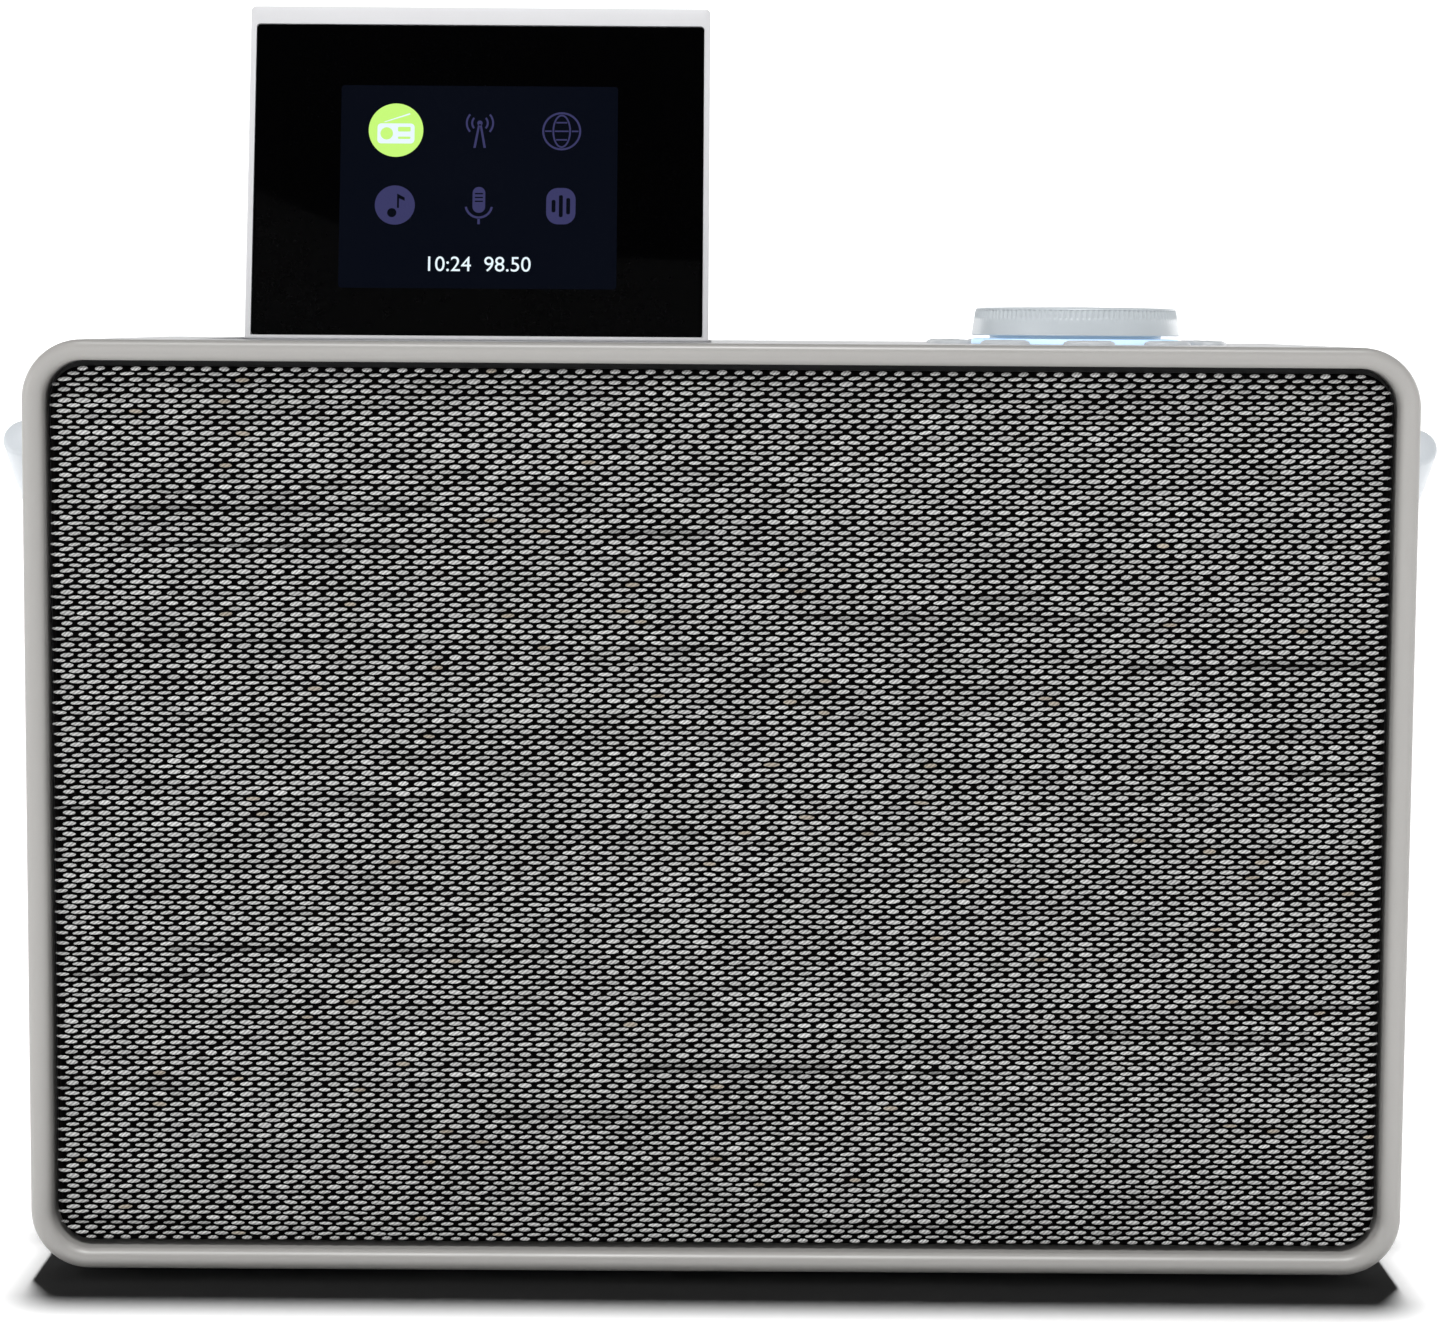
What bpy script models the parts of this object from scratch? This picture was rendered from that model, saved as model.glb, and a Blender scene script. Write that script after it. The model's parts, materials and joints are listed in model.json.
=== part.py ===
"""A portable radio speaker: cloth front, flip-up display, dial in a ring of buttons, carry handle, aerial.

Sizes are in metres. The set stands on its feet at Z = 0, faces -Y, and X runs to its right. Depths are
measured back from the crest of the front rim, and the parent empty then centres the whole set in Y.
"""

import math

import bmesh
import bpy
from mathutils import Matrix, Vector

# Body
BODY_WIDTH = 0.250
BODY_HEIGHT = 0.169
BODY_DEPTH = 0.116
BODY_CORNER = 0.0108
SMALLEST_CORNER = 0.001
WALL = 0.003
FOOT_LIFT = 0.002
FOOT_RADIUS = 0.006
FOOT_INSET = 0.022
FOOT_PEG = 0.002
FOOT_BEVEL = 0.0004
# Clearances: between fixed pieces, and round moving ones
FIT = 0.0003
RUNNING = 0.0005
# How far a cutter runs past what it cuts, and how far from a plane a point still counts as on it
OVERCUT = 0.003
ON_PLANE = 0.0001

# Front, from the rim's crest backwards
RIM_WIDTH = 0.0037
RIM_DEPTH = 0.008
RIM_ROUND = 0.0017
CLOTH_RECESS = 0.003
CLOTH_THICKNESS = 0.001
CLOTH_GAP = 0.001
GRILLE_THICKNESS = 0.0022
BAFFLE_THICKNESS = 0.003
BAFFLE_POST = 0.003

# Drivers
DRIVER_RADIUS = 0.036
DRIVER_SPACING = 0.124
DRIVER_LIFT = 0.078
FLANGE_WIDTH = 0.0055
FLANGE_THICKNESS = 0.002
SHEET_METAL = 0.0012
BASKET_DEPTH = 0.024
BASKET_NECK = 0.003
CONE_DEPTH = 0.011
CONE_SKIN = 0.0008
SURROUND_ROLL = 0.003
DUST_CAP_RISE = 0.003
MAGNET_RADIUS = 0.020
MAGNET_DEPTH = 0.012
MAGNET_BEVEL = 0.001

# Display, from its hinge upwards; it leans back at rest and folds forward into the top
DISPLAY_WIDTH = 0.0946
DISPLAY_LENGTH = 0.0727
DISPLAY_THICKNESS = 0.008
DISPLAY_CORNER = 0.003
DISPLAY_LEAN = math.radians(12)
DISPLAY_RIGHT_EDGE = -0.0025
HINGE_TO_BACK = 0.020
HINGE_PIN_RADIUS = 0.0015
HINGE_PIN_LENGTH = 0.007
BEZEL_SIDE = 0.001
BEZEL_TOP = 0.0035
BEZEL_DEPTH = 0.0040
BEZEL_LIP = 0.0006
DISPLAY_BACK_ROUND = 0.0018
GLASS_THICKNESS = 0.0011
GLASS_START = 0.0036
GLASS_SINK = 0.0002
GLASS_CORNER = 0.0025
LCD_WIDTH = 0.0692
LCD_HEIGHT = 0.0520
LCD_THICKNESS = 0.0022
LCD_CENTRE = 0.0349
LCD_CORNER = 0.0005
RECESS_GAP = 0.0006
RECESS_WALL = 0.003

# Dial and its ring of buttons
DIAL_RADIUS = 0.0200
DIAL_FRONT = 0.055
DISPLAY_TO_DIAL = 0.0415
KNOB_BASE = 0.0016
KNOB_HEIGHT = 0.0055
KNOB_TAPER = 0.0010
KNOB_DOME = 0.0006
KNOB_EDGE = 0.0005
KNOB_BORE_DEPTH = 0.0030
SHAFT_RADIUS = 0.003
ENCODER_SIZE = 0.013
ENCODER_HEIGHT = 0.0070
ENCODER_FLOOR = 0.0008
PLUNGER_RADIUS = 0.0021
PLUNGER_HEIGHT = 0.0013
PRESS_TRAVEL = 0.0004
RING_WIDTH = 0.0032
RING_PROUD = 0.0010
RING_SEAT = 0.0015
BUTTON_COUNT = 10
BUTTON_LENGTH = 0.010
BUTTON_DEPTH = 0.007
BUTTON_PROUD = 0.0008
BUTTON_ROUND = 0.0011
BUTTON_LIP = 0.0007
BUTTON_LIP_THICKNESS = 0.0010
BUTTON_STEM = 0.0015
BUTTON_GAP = 0.0024
BOARD_THICKNESS = 0.0016
BOARD_CORNER = 0.003
BOARD_DROP = 0.0110
BOARD_MARGIN = 0.007
BOARD_POST = 0.0025

# Handle, one bent rod that turns on a pin at each side
ROD_RADIUS = 0.0040
ARM_GAP = 0.0035
HANDLE_PIVOT_FRONT = 0.050
HANDLE_PIVOT_DROP = 0.024
HANDLE_NOSE = 0.0095
HANDLE_SLOPE = math.radians(33)
HANDLE_BEND = 0.016
HANDLE_CLEARANCE = 0.0039
PIVOT_RADIUS = 0.0022
PIVOT_BOSS = 0.0055
PIVOT_BEYOND_AXIS = 0.0008

# Back
COVER_DEPTH = 0.012
COVER_ROUND = 0.004
SCREW_HEAD = 0.0028
SCREW_HEAD_BEVEL = 0.0005
SCREW_SLOT = 0.0008
SCREW_SLOT_DEPTH = 0.0009
SCREW_SHANK = 0.0013
SCREW_LENGTH = 0.014
SCREW_FROM_EDGE = 0.026
SCREW_BOSS = 0.006
SCREW_BOSS_IN_WALL = 0.0018
SCREW_BOSS_LENGTH = 0.018
DOOR_WIDTH = 0.120
DOOR_HEIGHT = 0.036
DOOR_CORNER = 0.003
DOOR_LIFT = 0.034
DOOR_GRIP_RADIUS = 0.003
DOOR_GRIP_LENGTH = 0.016
DOOR_GRIP_DROP = 0.005
BATTERY_DEPTH = 0.022
BATTERY_GAP = 0.001
BATTERY_ROOM = 0.004
BAY_WALL = 0.0016
MAIN_BOARD_SPACE = 0.005
MAIN_BOARD_FROM_SIDE = 0.017
MAIN_BOARD_HEIGHT = 0.070
MAIN_BOARD_CORNER = 0.002
MODULE_SIZE = (0.040, 0.0037, 0.030)
RIBBON_WIDTH = 0.012
RIBBON_THICKNESS = 0.0004
RIBBON_LAP = 0.010
RIBBON_BEND = 0.006
PORT_LIFT = 0.078
PORT_FIRST = 0.066
PORT_SPACING = 0.015
PORT_LENGTH = 0.011
PORT_SINK = 0.0006
PORT_BORE_DEPTH = 0.009
PORT_COLLAR = 0.0012
PORT_BOARD_MARGIN = 0.010
PORT_BOARD_HEIGHT = 0.018
INLET_RADIUS = 0.0037
INLET_BORE = 0.0027
INLET_PIN = 0.0008
SOCKET_RADIUS = 0.0030
SOCKET_BORE = 0.0018
USB_SIZE = (0.0096, 0.0036)
USB_CORNER = 0.0014
USB_SKIN = 0.0005
USB_TONGUE = (0.0064, 0.0007)

# Aerial, lying in a step along the cover's top edge
STEP_HEIGHT = 0.0102
STEP_DEPTH = 0.0095
STEP_BACKING = 0.003
AERIAL_FROM_CENTRE = 0.108
AERIAL_PROUD = 0.0005
AERIAL_RADIUS = 0.0035
AERIAL_LENGTH = 0.094
AERIAL_PIN = 0.0011
TUBE_WALL = 0.0004
TUBE_PLUG = 0.006
SECTION_PLUG = 0.004
SECTION_SHOWS = 0.001
TIP_GAP = 0.0009
TIP_CAP = 0.005
TIP_BEVEL = 0.001
EYE_REACH = 0.0058
EYE_RADIUS = 0.0032
EYE_PLATE = 0.0026
EYE_THICKNESS = 0.003
EYE_LAP = 0.002
EAR_THICKNESS = 0.0016
SWIVEL_RADIUS = 0.0046
SWIVEL_STUB_LENGTH = 0.0022
SWIVEL_PLATE = 0.0016

# Worked out from the sizes above
TOP = FOOT_LIFT + BODY_HEIGHT
MIDDLE = FOOT_LIFT + BODY_HEIGHT / 2
CASE_FRONT = RIM_DEPTH + FIT
COVER_FRONT = BODY_DEPTH - COVER_DEPTH
CASE_BACK = COVER_FRONT - FIT
CLOTH_BACK = CLOTH_RECESS + CLOTH_THICKNESS
GRILLE_FRONT = CLOTH_BACK + FIT
GRILLE_BACK = GRILLE_FRONT + GRILLE_THICKNESS
FLANGE_FRONT = GRILLE_BACK + FIT
FLANGE_BACK = FLANGE_FRONT + FLANGE_THICKNESS
BAFFLE_FRONT = FLANGE_BACK + FIT
BAFFLE_BACK = BAFFLE_FRONT + BAFFLE_THICKNESS
BASKET_BACK = FLANGE_FRONT + BASKET_DEPTH
MAGNET_FRONT = BASKET_BACK + FIT
MAGNET_BACK = MAGNET_FRONT + MAGNET_DEPTH
MAIN_BOARD_FRONT = MAGNET_BACK + MAIN_BOARD_SPACE
MAIN_BOARD_BACK = MAIN_BOARD_FRONT + BOARD_THICKNESS
MAIN_BOARD_WIDTH = BODY_WIDTH - 2 * MAIN_BOARD_FROM_SIDE
DRIVER_Z = FOOT_LIFT + DRIVER_LIFT

DISPLAY_X = DISPLAY_RIGHT_EDGE - DISPLAY_WIDTH / 2
HINGE_Y = BODY_DEPTH - HINGE_TO_BACK
HINGE_Z = TOP - DISPLAY_THICKNESS / 2
HALF_DISPLAY = DISPLAY_THICKNESS / 2
RECESS_WIDTH = DISPLAY_WIDTH + 2 * RECESS_GAP
RECESS_FRONT = HINGE_Y - DISPLAY_LENGTH - RECESS_GAP
# The leaning housing's back face meets the top surface this far behind the hinge axis
LEAN_REACH = HALF_DISPLAY * (1 + math.sin(DISPLAY_LEAN)) / math.cos(DISPLAY_LEAN)
RECESS_BACK = HINGE_Y + LEAN_REACH + RECESS_GAP
RECESS_FLOOR = TOP - DISPLAY_THICKNESS - RECESS_GAP

BUTTON_RING = DIAL_RADIUS + BUTTON_GAP + BUTTON_DEPTH / 2
RING_OUTER = BUTTON_RING + BUTTON_DEPTH / 2
DIAL_X = DISPLAY_RIGHT_EDGE + DISPLAY_TO_DIAL + RING_OUTER
BOARD_TOP = TOP - BOARD_DROP
BOARD_HALF = RING_OUTER + BOARD_MARGIN
POST_OFFSET = RING_OUTER + BOARD_MARGIN / 2

ARM_X = BODY_WIDTH / 2 + ARM_GAP + ROD_RADIUS
PIVOT_Z = TOP - HANDLE_PIVOT_DROP
# The raised display's top rear corner, from the hinge and then from the handle's pivot: the grip clears it
CORNER_BACK = DISPLAY_LENGTH * math.sin(DISPLAY_LEAN) + HALF_DISPLAY * math.cos(DISPLAY_LEAN)
CORNER_UP = DISPLAY_LENGTH * math.cos(DISPLAY_LEAN) - HALF_DISPLAY * math.sin(DISPLAY_LEAN)
CORNER_RADIUS = math.hypot(HINGE_Y + CORNER_BACK - HANDLE_PIVOT_FRONT, HINGE_Z + CORNER_UP - PIVOT_Z)
HANDLE_REACH = CORNER_RADIUS + HANDLE_CLEARANCE + ROD_RADIUS
GRIP_Y = HANDLE_PIVOT_FRONT + HANDLE_REACH * math.cos(HANDLE_SLOPE)
SET_DEPTH = GRIP_Y + ROD_RADIUS

COVER_WALL_FRONT = BODY_DEPTH - WALL
BAND_BOTTOM = TOP - STEP_HEIGHT - STEP_BACKING
DOOR_Z = FOOT_LIFT + DOOR_LIFT
BAY_BACK = COVER_WALL_FRONT - FIT
BAY_FRONT = BAY_BACK - BATTERY_DEPTH - BAY_WALL - BATTERY_ROOM
PORT_Z = FOOT_LIFT + PORT_LIFT
PORT_NOSE = BODY_DEPTH - PORT_SINK
PORT_BACK = COVER_WALL_FRONT - PORT_LENGTH
AERIAL_Z = TOP - STEP_HEIGHT / 2
AERIAL_Y = BODY_DEPTH - STEP_DEPTH / 2 + AERIAL_PROUD

COLLECTION = "portable_radio"
SMOOTH_ANGLE = math.radians(35)
WELD = 1e-6
TURN_WELD = 1e-5

# Turns a shape drawn in X and Y and given its depth along Z, so that the depth runs along another axis
DRAWN = {
    "X": Matrix(((0, 0, 1, 0), (1, 0, 0, 0), (0, 1, 0, 0), (0, 0, 0, 1))),
    "Y": Matrix(((1, 0, 0, 0), (0, 0, -1, 0), (0, 1, 0, 0), (0, 0, 0, 1))),
    "Z": Matrix.Identity(4),
}
# Turns a shape that was turned about Z, so that it lies along another axis, its top towards that axis's end
TURNED = {
    "X": DRAWN["X"],
    "Y": Matrix(((1, 0, 0, 0), (0, 0, 1, 0), (0, -1, 0, 0), (0, 0, 0, 1))),
    "Z": Matrix.Identity(4),
}


def start():
    """Empties the scene, and makes the collections and the empty that carries every part."""
    for obj in list(bpy.data.objects):
        bpy.data.objects.remove(obj)
    groups = {}
    for name in (COLLECTION, "cutters"):
        groups[name] = bpy.data.collections.new(name)
        bpy.context.scene.collection.children.link(groups[name])
    groups["cutters"].hide_render = True
    base = bpy.data.objects.new("base", None)
    base.location = (0, -SET_DEPTH / 2, 0)
    groups[COLLECTION].objects.link(base)
    return groups, base


GROUPS, BASE = start()


def finish(name, colour, roughness, metallic=0.0):
    """A plain material."""
    material = bpy.data.materials.new(name)
    material.use_nodes = True
    shader = material.node_tree.nodes["Principled BSDF"]
    shader.inputs["Base Color"].default_value = (*colour, 1)
    shader.inputs["Roughness"].default_value = roughness
    shader.inputs["Metallic"].default_value = metallic
    material.diffuse_color = (*colour, 1)
    return material


SHELL = finish("shell_plastic", (0.58, 0.58, 0.59), 0.38)
RIM = finish("rim_plastic", (0.50, 0.49, 0.48), 0.34)
CLOTH = finish("cloth", (0.12, 0.12, 0.12), 0.95)
BLACK = finish("black_plastic", (0.02, 0.02, 0.022), 0.5)
GLASS = finish("black_glass", (0.004, 0.004, 0.005), 0.06)
SCREEN = finish("screen", (0.01, 0.015, 0.03), 0.2)
KNOB = finish("knob_plastic", (0.56, 0.60, 0.62), 0.35)
GLOW = finish("light_ring", (0.55, 0.72, 0.90), 0.3)
ROD = finish("satin_metal", (0.62, 0.65, 0.68), 0.32, 1.0)
CHROME = finish("bright_metal", (0.75, 0.75, 0.76), 0.15, 1.0)
STEEL = finish("steel", (0.45, 0.45, 0.46), 0.35, 1.0)
RUBBER = finish("rubber", (0.03, 0.03, 0.03), 0.85)
BOARD = finish("circuit_board", (0.02, 0.12, 0.05), 0.5)
PAPER = finish("cone_paper", (0.05, 0.05, 0.055), 0.8)
WRAP = finish("battery_wrap", (0.06, 0.12, 0.28), 0.45)


# Outlines

def rounded_rectangle(width, height, radius, centre=(0, 0), steps=5):
    """Points round a rectangle with quarter-circle corners, anticlockwise."""
    points = []
    for corner, (side, end) in enumerate(((1, 1), (-1, 1), (-1, -1), (1, -1))):
        x = centre[0] + side * (width / 2 - radius)
        y = centre[1] + end * (height / 2 - radius)
        for step in range(steps + 1):
            angle = math.pi / 2 * (corner + step / steps)
            points.append((x + radius * math.cos(angle), y + radius * math.sin(angle)))
    return points


def circle(radius, centre=(0, 0), steps=24):
    turns = (math.tau * step / steps for step in range(steps))
    return [(centre[0] + radius * math.cos(a), centre[1] + radius * math.sin(a)) for a in turns]


def body_outline(inset=0.0):
    """The body seen from the front, or a smaller outline inside it."""
    size = (BODY_WIDTH - 2 * inset, BODY_HEIGHT - 2 * inset)
    return rounded_rectangle(*size, max(BODY_CORNER - inset, SMALLEST_CORNER), (0, MIDDLE), 6)


# Meshes

def baked(obj, matrix):
    """The object's evaluated mesh, welded and turned by the matrix, in place of the object."""
    graph = bpy.context.evaluated_depsgraph_get()
    mesh = bpy.data.meshes.new_from_object(obj.evaluated_get(graph))
    bpy.data.objects.remove(obj)
    shape = bmesh.new()
    shape.from_mesh(mesh)
    bmesh.ops.remove_doubles(shape, verts=shape.verts, dist=WELD)
    bmesh.ops.transform(shape, matrix=matrix, verts=shape.verts)
    bmesh.ops.recalc_face_normals(shape, faces=shape.faces)
    shape.to_mesh(mesh)
    shape.free()
    return mesh


def curve_object(splines, cyclic, dimensions):
    curve = bpy.data.curves.new("outline", "CURVE")
    curve.dimensions = dimensions
    for points in splines:
        spline = curve.splines.new("POLY")
        spline.points.add(len(points) - 1)
        for place, point in zip(spline.points, points):
            place.co = (*point, 0, 1) if len(point) == 2 else (*point, 1)
        spline.use_cyclic_u = cyclic
    obj = bpy.data.objects.new("outline", curve)
    bpy.context.scene.collection.objects.link(obj)
    return obj


def prism(outlines, low, high, axis="Z"):
    """Flat outlines, the later ones holes, given a depth from low to high along an axis.

    The outline's own X and Y are the body's Y and Z along X, its X and Z along Y, and its X and Y along Z.
    """
    obj = curve_object(outlines, True, "2D")
    obj.data.fill_mode = "BOTH"
    obj.data.extrude = (high - low) / 2
    middle = (low + high) / 2
    place = Matrix.Translation((0, 0, -middle if axis == "Y" else middle))
    return baked(obj, DRAWN[axis] @ place)


def block(low, high):
    """A box between two corners."""
    shape = bmesh.new()
    size = Vector(high) - Vector(low)
    middle = (Vector(high) + Vector(low)) / 2
    matrix = Matrix.Translation(middle) @ Matrix.Diagonal((*size, 1))
    bmesh.ops.create_cube(shape, size=1, matrix=matrix)
    mesh = bpy.data.meshes.new("block")
    shape.to_mesh(mesh)
    shape.free()
    return mesh


def turned(profile, axis="Z", steps=24):
    """A profile of (radius, height) points, turned about an axis.

    One that begins and ends on the axis makes a solid, and any other is closed into a ring.
    """
    ring = profile[0][0] > 0 or profile[-1][0] > 0
    mesh = bpy.data.meshes.new("profile")
    edges = [(i, i + 1) for i in range(len(profile) - 1)]
    if ring:
        edges.append((len(profile) - 1, 0))
    mesh.from_pydata([(radius, 0, height) for radius, height in profile], edges, [])
    obj = bpy.data.objects.new("profile", mesh)
    bpy.context.scene.collection.objects.link(obj)
    screw = obj.modifiers.new("turn", "SCREW")
    screw.steps = screw.render_steps = steps
    screw.use_merge_vertices = True
    screw.merge_threshold = TURN_WELD
    return baked(obj, TURNED[axis])


def rod(radius, low, high, axis="Z", steps=16):
    return turned([(0, high), (radius, high), (radius, low), (0, low)], axis, steps)


def tube_along(points, radius, resolution=3):
    obj = curve_object([points], False, "3D")
    obj.data.bevel_depth = radius
    obj.data.bevel_resolution = resolution
    obj.data.use_fill_caps = True
    return baked(obj, Matrix.Identity(4))


def moved(mesh, offset):
    """A copy of a mesh, moved."""
    copy = mesh.copy()
    copy.transform(Matrix.Translation(offset))
    return copy


def round_edges(mesh, chosen, width, segments=3):
    """Rounds the sharp edges whose two ends the test accepts."""
    shape = bmesh.new()
    shape.from_mesh(mesh)
    sharp = (edge for edge in shape.edges if edge.calc_face_angle(0) > SMOOTH_ANGLE)
    edges = [edge for edge in sharp if all(chosen(vert.co) for vert in edge.verts)]
    bmesh.ops.bevel(shape, geom=edges, offset=width, segments=segments, profile=0.5, affect="EDGES")
    shape.to_mesh(mesh)
    shape.free()
    return mesh


# Objects

def part(name, mesh, material, origin=(0, 0, 0), turn=(0, 0, 0)):
    """A part whose mesh is drawn about its own origin, carried by the base."""
    mesh.materials.clear()
    mesh.materials.append(material)
    mesh.shade_smooth()
    mesh.set_sharp_from_angle(angle=SMOOTH_ANGLE)
    obj = bpy.data.objects.new(name, mesh)
    obj.location = origin
    obj.rotation_euler = turn
    obj.parent = BASE
    GROUPS[COLLECTION].objects.link(obj)
    return obj


def combine(obj, operation, meshes):
    """Joins meshes to a part, or cuts them from it; each is drawn about the part's own origin."""
    for mesh in meshes:
        helper = bpy.data.objects.new(f"{obj.name}_{operation.lower()}", mesh)
        helper.parent = obj
        helper.hide_render = True
        helper.display_type = "WIRE"
        GROUPS["cutters"].objects.link(helper)
        boolean = obj.modifiers.new(operation.lower(), "BOOLEAN")
        boolean.operation = operation
        boolean.object = helper


def join(obj, *meshes):
    combine(obj, "UNION", meshes)


def cut(obj, *meshes):
    combine(obj, "DIFFERENCE", meshes)


def both_sides(value):
    return (-value, value)


# Front of the set

def make_front():
    ring = prism([body_outline(), body_outline(RIM_WIDTH)], 0, RIM_DEPTH, "Y")
    round_edges(ring, lambda point: point.y < RIM_ROUND / 4, RIM_ROUND)
    part("front_frame", ring, RIM)

    cloth_edge = RIM_WIDTH + CLOTH_GAP
    cloth = prism([body_outline(cloth_edge)], CLOTH_RECESS, CLOTH_BACK, "Y")
    part("grille_cloth", cloth, CLOTH)

    hole = DRIVER_RADIUS - FLANGE_WIDTH
    driver_holes = [circle(hole, (x, DRIVER_Z)) for x in both_sides(DRIVER_SPACING / 2)]
    grille = prism([body_outline(cloth_edge), *driver_holes], GRILLE_FRONT, GRILLE_BACK, "Y")
    part("grille_frame", grille, BLACK)

    baffle = prism([body_outline(WALL + FIT), *driver_holes], BAFFLE_FRONT, BAFFLE_BACK, "Y")
    baffle_part = part("speaker_baffle", baffle, BLACK)
    post = rod(BAFFLE_POST, BAFFLE_BACK - BAFFLE_THICKNESS / 2, MAIN_BOARD_FRONT - FIT, "Y", 12)
    across = both_sides(MAIN_BOARD_WIDTH / 2 - 2 * BAFFLE_POST)
    up = both_sides(MAIN_BOARD_HEIGHT / 2 - 2 * BAFFLE_POST)
    join(baffle_part, *[moved(post, (x, 0, DRIVER_Z + z)) for x in across for z in up])


def basket_profile():
    """The pressed basket, an open cup from its flat back to its flange."""
    neck = DRIVER_RADIUS - FLANGE_WIDTH - RUNNING
    back = MAGNET_RADIUS - 2 * SHEET_METAL
    shoulder = BAFFLE_BACK + BASKET_NECK
    return [
        (0, BASKET_BACK),
        (back, BASKET_BACK),
        (neck, shoulder),
        (neck, FLANGE_BACK),
        (DRIVER_RADIUS, FLANGE_BACK),
        (DRIVER_RADIUS, FLANGE_FRONT),
        (neck - SHEET_METAL, FLANGE_FRONT),
        (neck - SHEET_METAL, shoulder - SHEET_METAL / 2),
        (back - SHEET_METAL, BASKET_BACK - SHEET_METAL),
        (0, BASKET_BACK - SHEET_METAL),
    ]


def cone_profile():
    """Domed dust cap, straight cone and half-round surround, as one thin skin."""
    edge = DRIVER_RADIUS - FLANGE_WIDTH - RUNNING - SHEET_METAL - FIT
    surround = edge - 2 * SURROUND_ROLL
    cap = edge / 3
    cap_foot = FLANGE_FRONT + CONE_DEPTH - DUST_CAP_RISE
    surround_foot = FLANGE_FRONT + SURROUND_ROLL + 2 * FIT
    front = [
        (0, cap_foot - DUST_CAP_RISE),
        (cap * 0.7, cap_foot - DUST_CAP_RISE * 0.7),
        (cap, cap_foot),
        (surround, surround_foot),
    ]
    for step in range(1, 5):
        angle = math.pi * step / 4
        across = surround + SURROUND_ROLL * (1 - math.cos(angle))
        front.append((across, surround_foot - SURROUND_ROLL * math.sin(angle)))
    back = [(radius, depth + CONE_SKIN) for radius, depth in front]
    return back + front[::-1]


def make_drivers():
    basket = turned(basket_profile(), "Y", 20)
    cone = turned(cone_profile(), "Y", 20)
    magnet = turned(
        [
            (0, MAGNET_BACK),
            (MAGNET_RADIUS - MAGNET_BEVEL, MAGNET_BACK),
            (MAGNET_RADIUS, MAGNET_BACK - MAGNET_BEVEL),
            (MAGNET_RADIUS, MAGNET_FRONT),
            (0, MAGNET_FRONT),
        ],
        "Y",
        20,
    )
    for side, x in (("left", -DRIVER_SPACING / 2), ("right", DRIVER_SPACING / 2)):
        part(f"basket_{side}", basket.copy(), STEEL, (x, 0, DRIVER_Z))
        part(f"cone_{side}", cone.copy(), PAPER, (x, 0, DRIVER_Z))
        part(f"magnet_{side}", magnet.copy(), STEEL, (x, 0, DRIVER_Z))


# Case

def screw_places():
    x = BODY_WIDTH / 2 - WALL - SCREW_BOSS + SCREW_BOSS_IN_WALL
    z = BODY_HEIGHT / 2 - SCREW_FROM_EDGE
    return [(side, MIDDLE + end) for side in both_sides(x) for end in both_sides(z)]


def foot_places():
    x = BODY_WIDTH / 2 - FOOT_INSET
    return [(side, y) for side in both_sides(x) for y in (FOOT_INSET, COVER_FRONT - FOOT_INSET / 2)]


def button_outline(grow=0.0):
    """A pill, whose ends keep a short flat so that no two points of the outline meet."""
    size = (BUTTON_LENGTH + 2 * grow, BUTTON_DEPTH + 2 * grow)
    return rounded_rectangle(*size, BUTTON_DEPTH / 2 - ON_PLANE + grow, steps=3)


def button_angles():
    """Directions of the buttons from the dial, the first towards the front."""
    return [math.tau * index / BUTTON_COUNT - math.pi / 2 for index in range(BUTTON_COUNT)]


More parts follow.
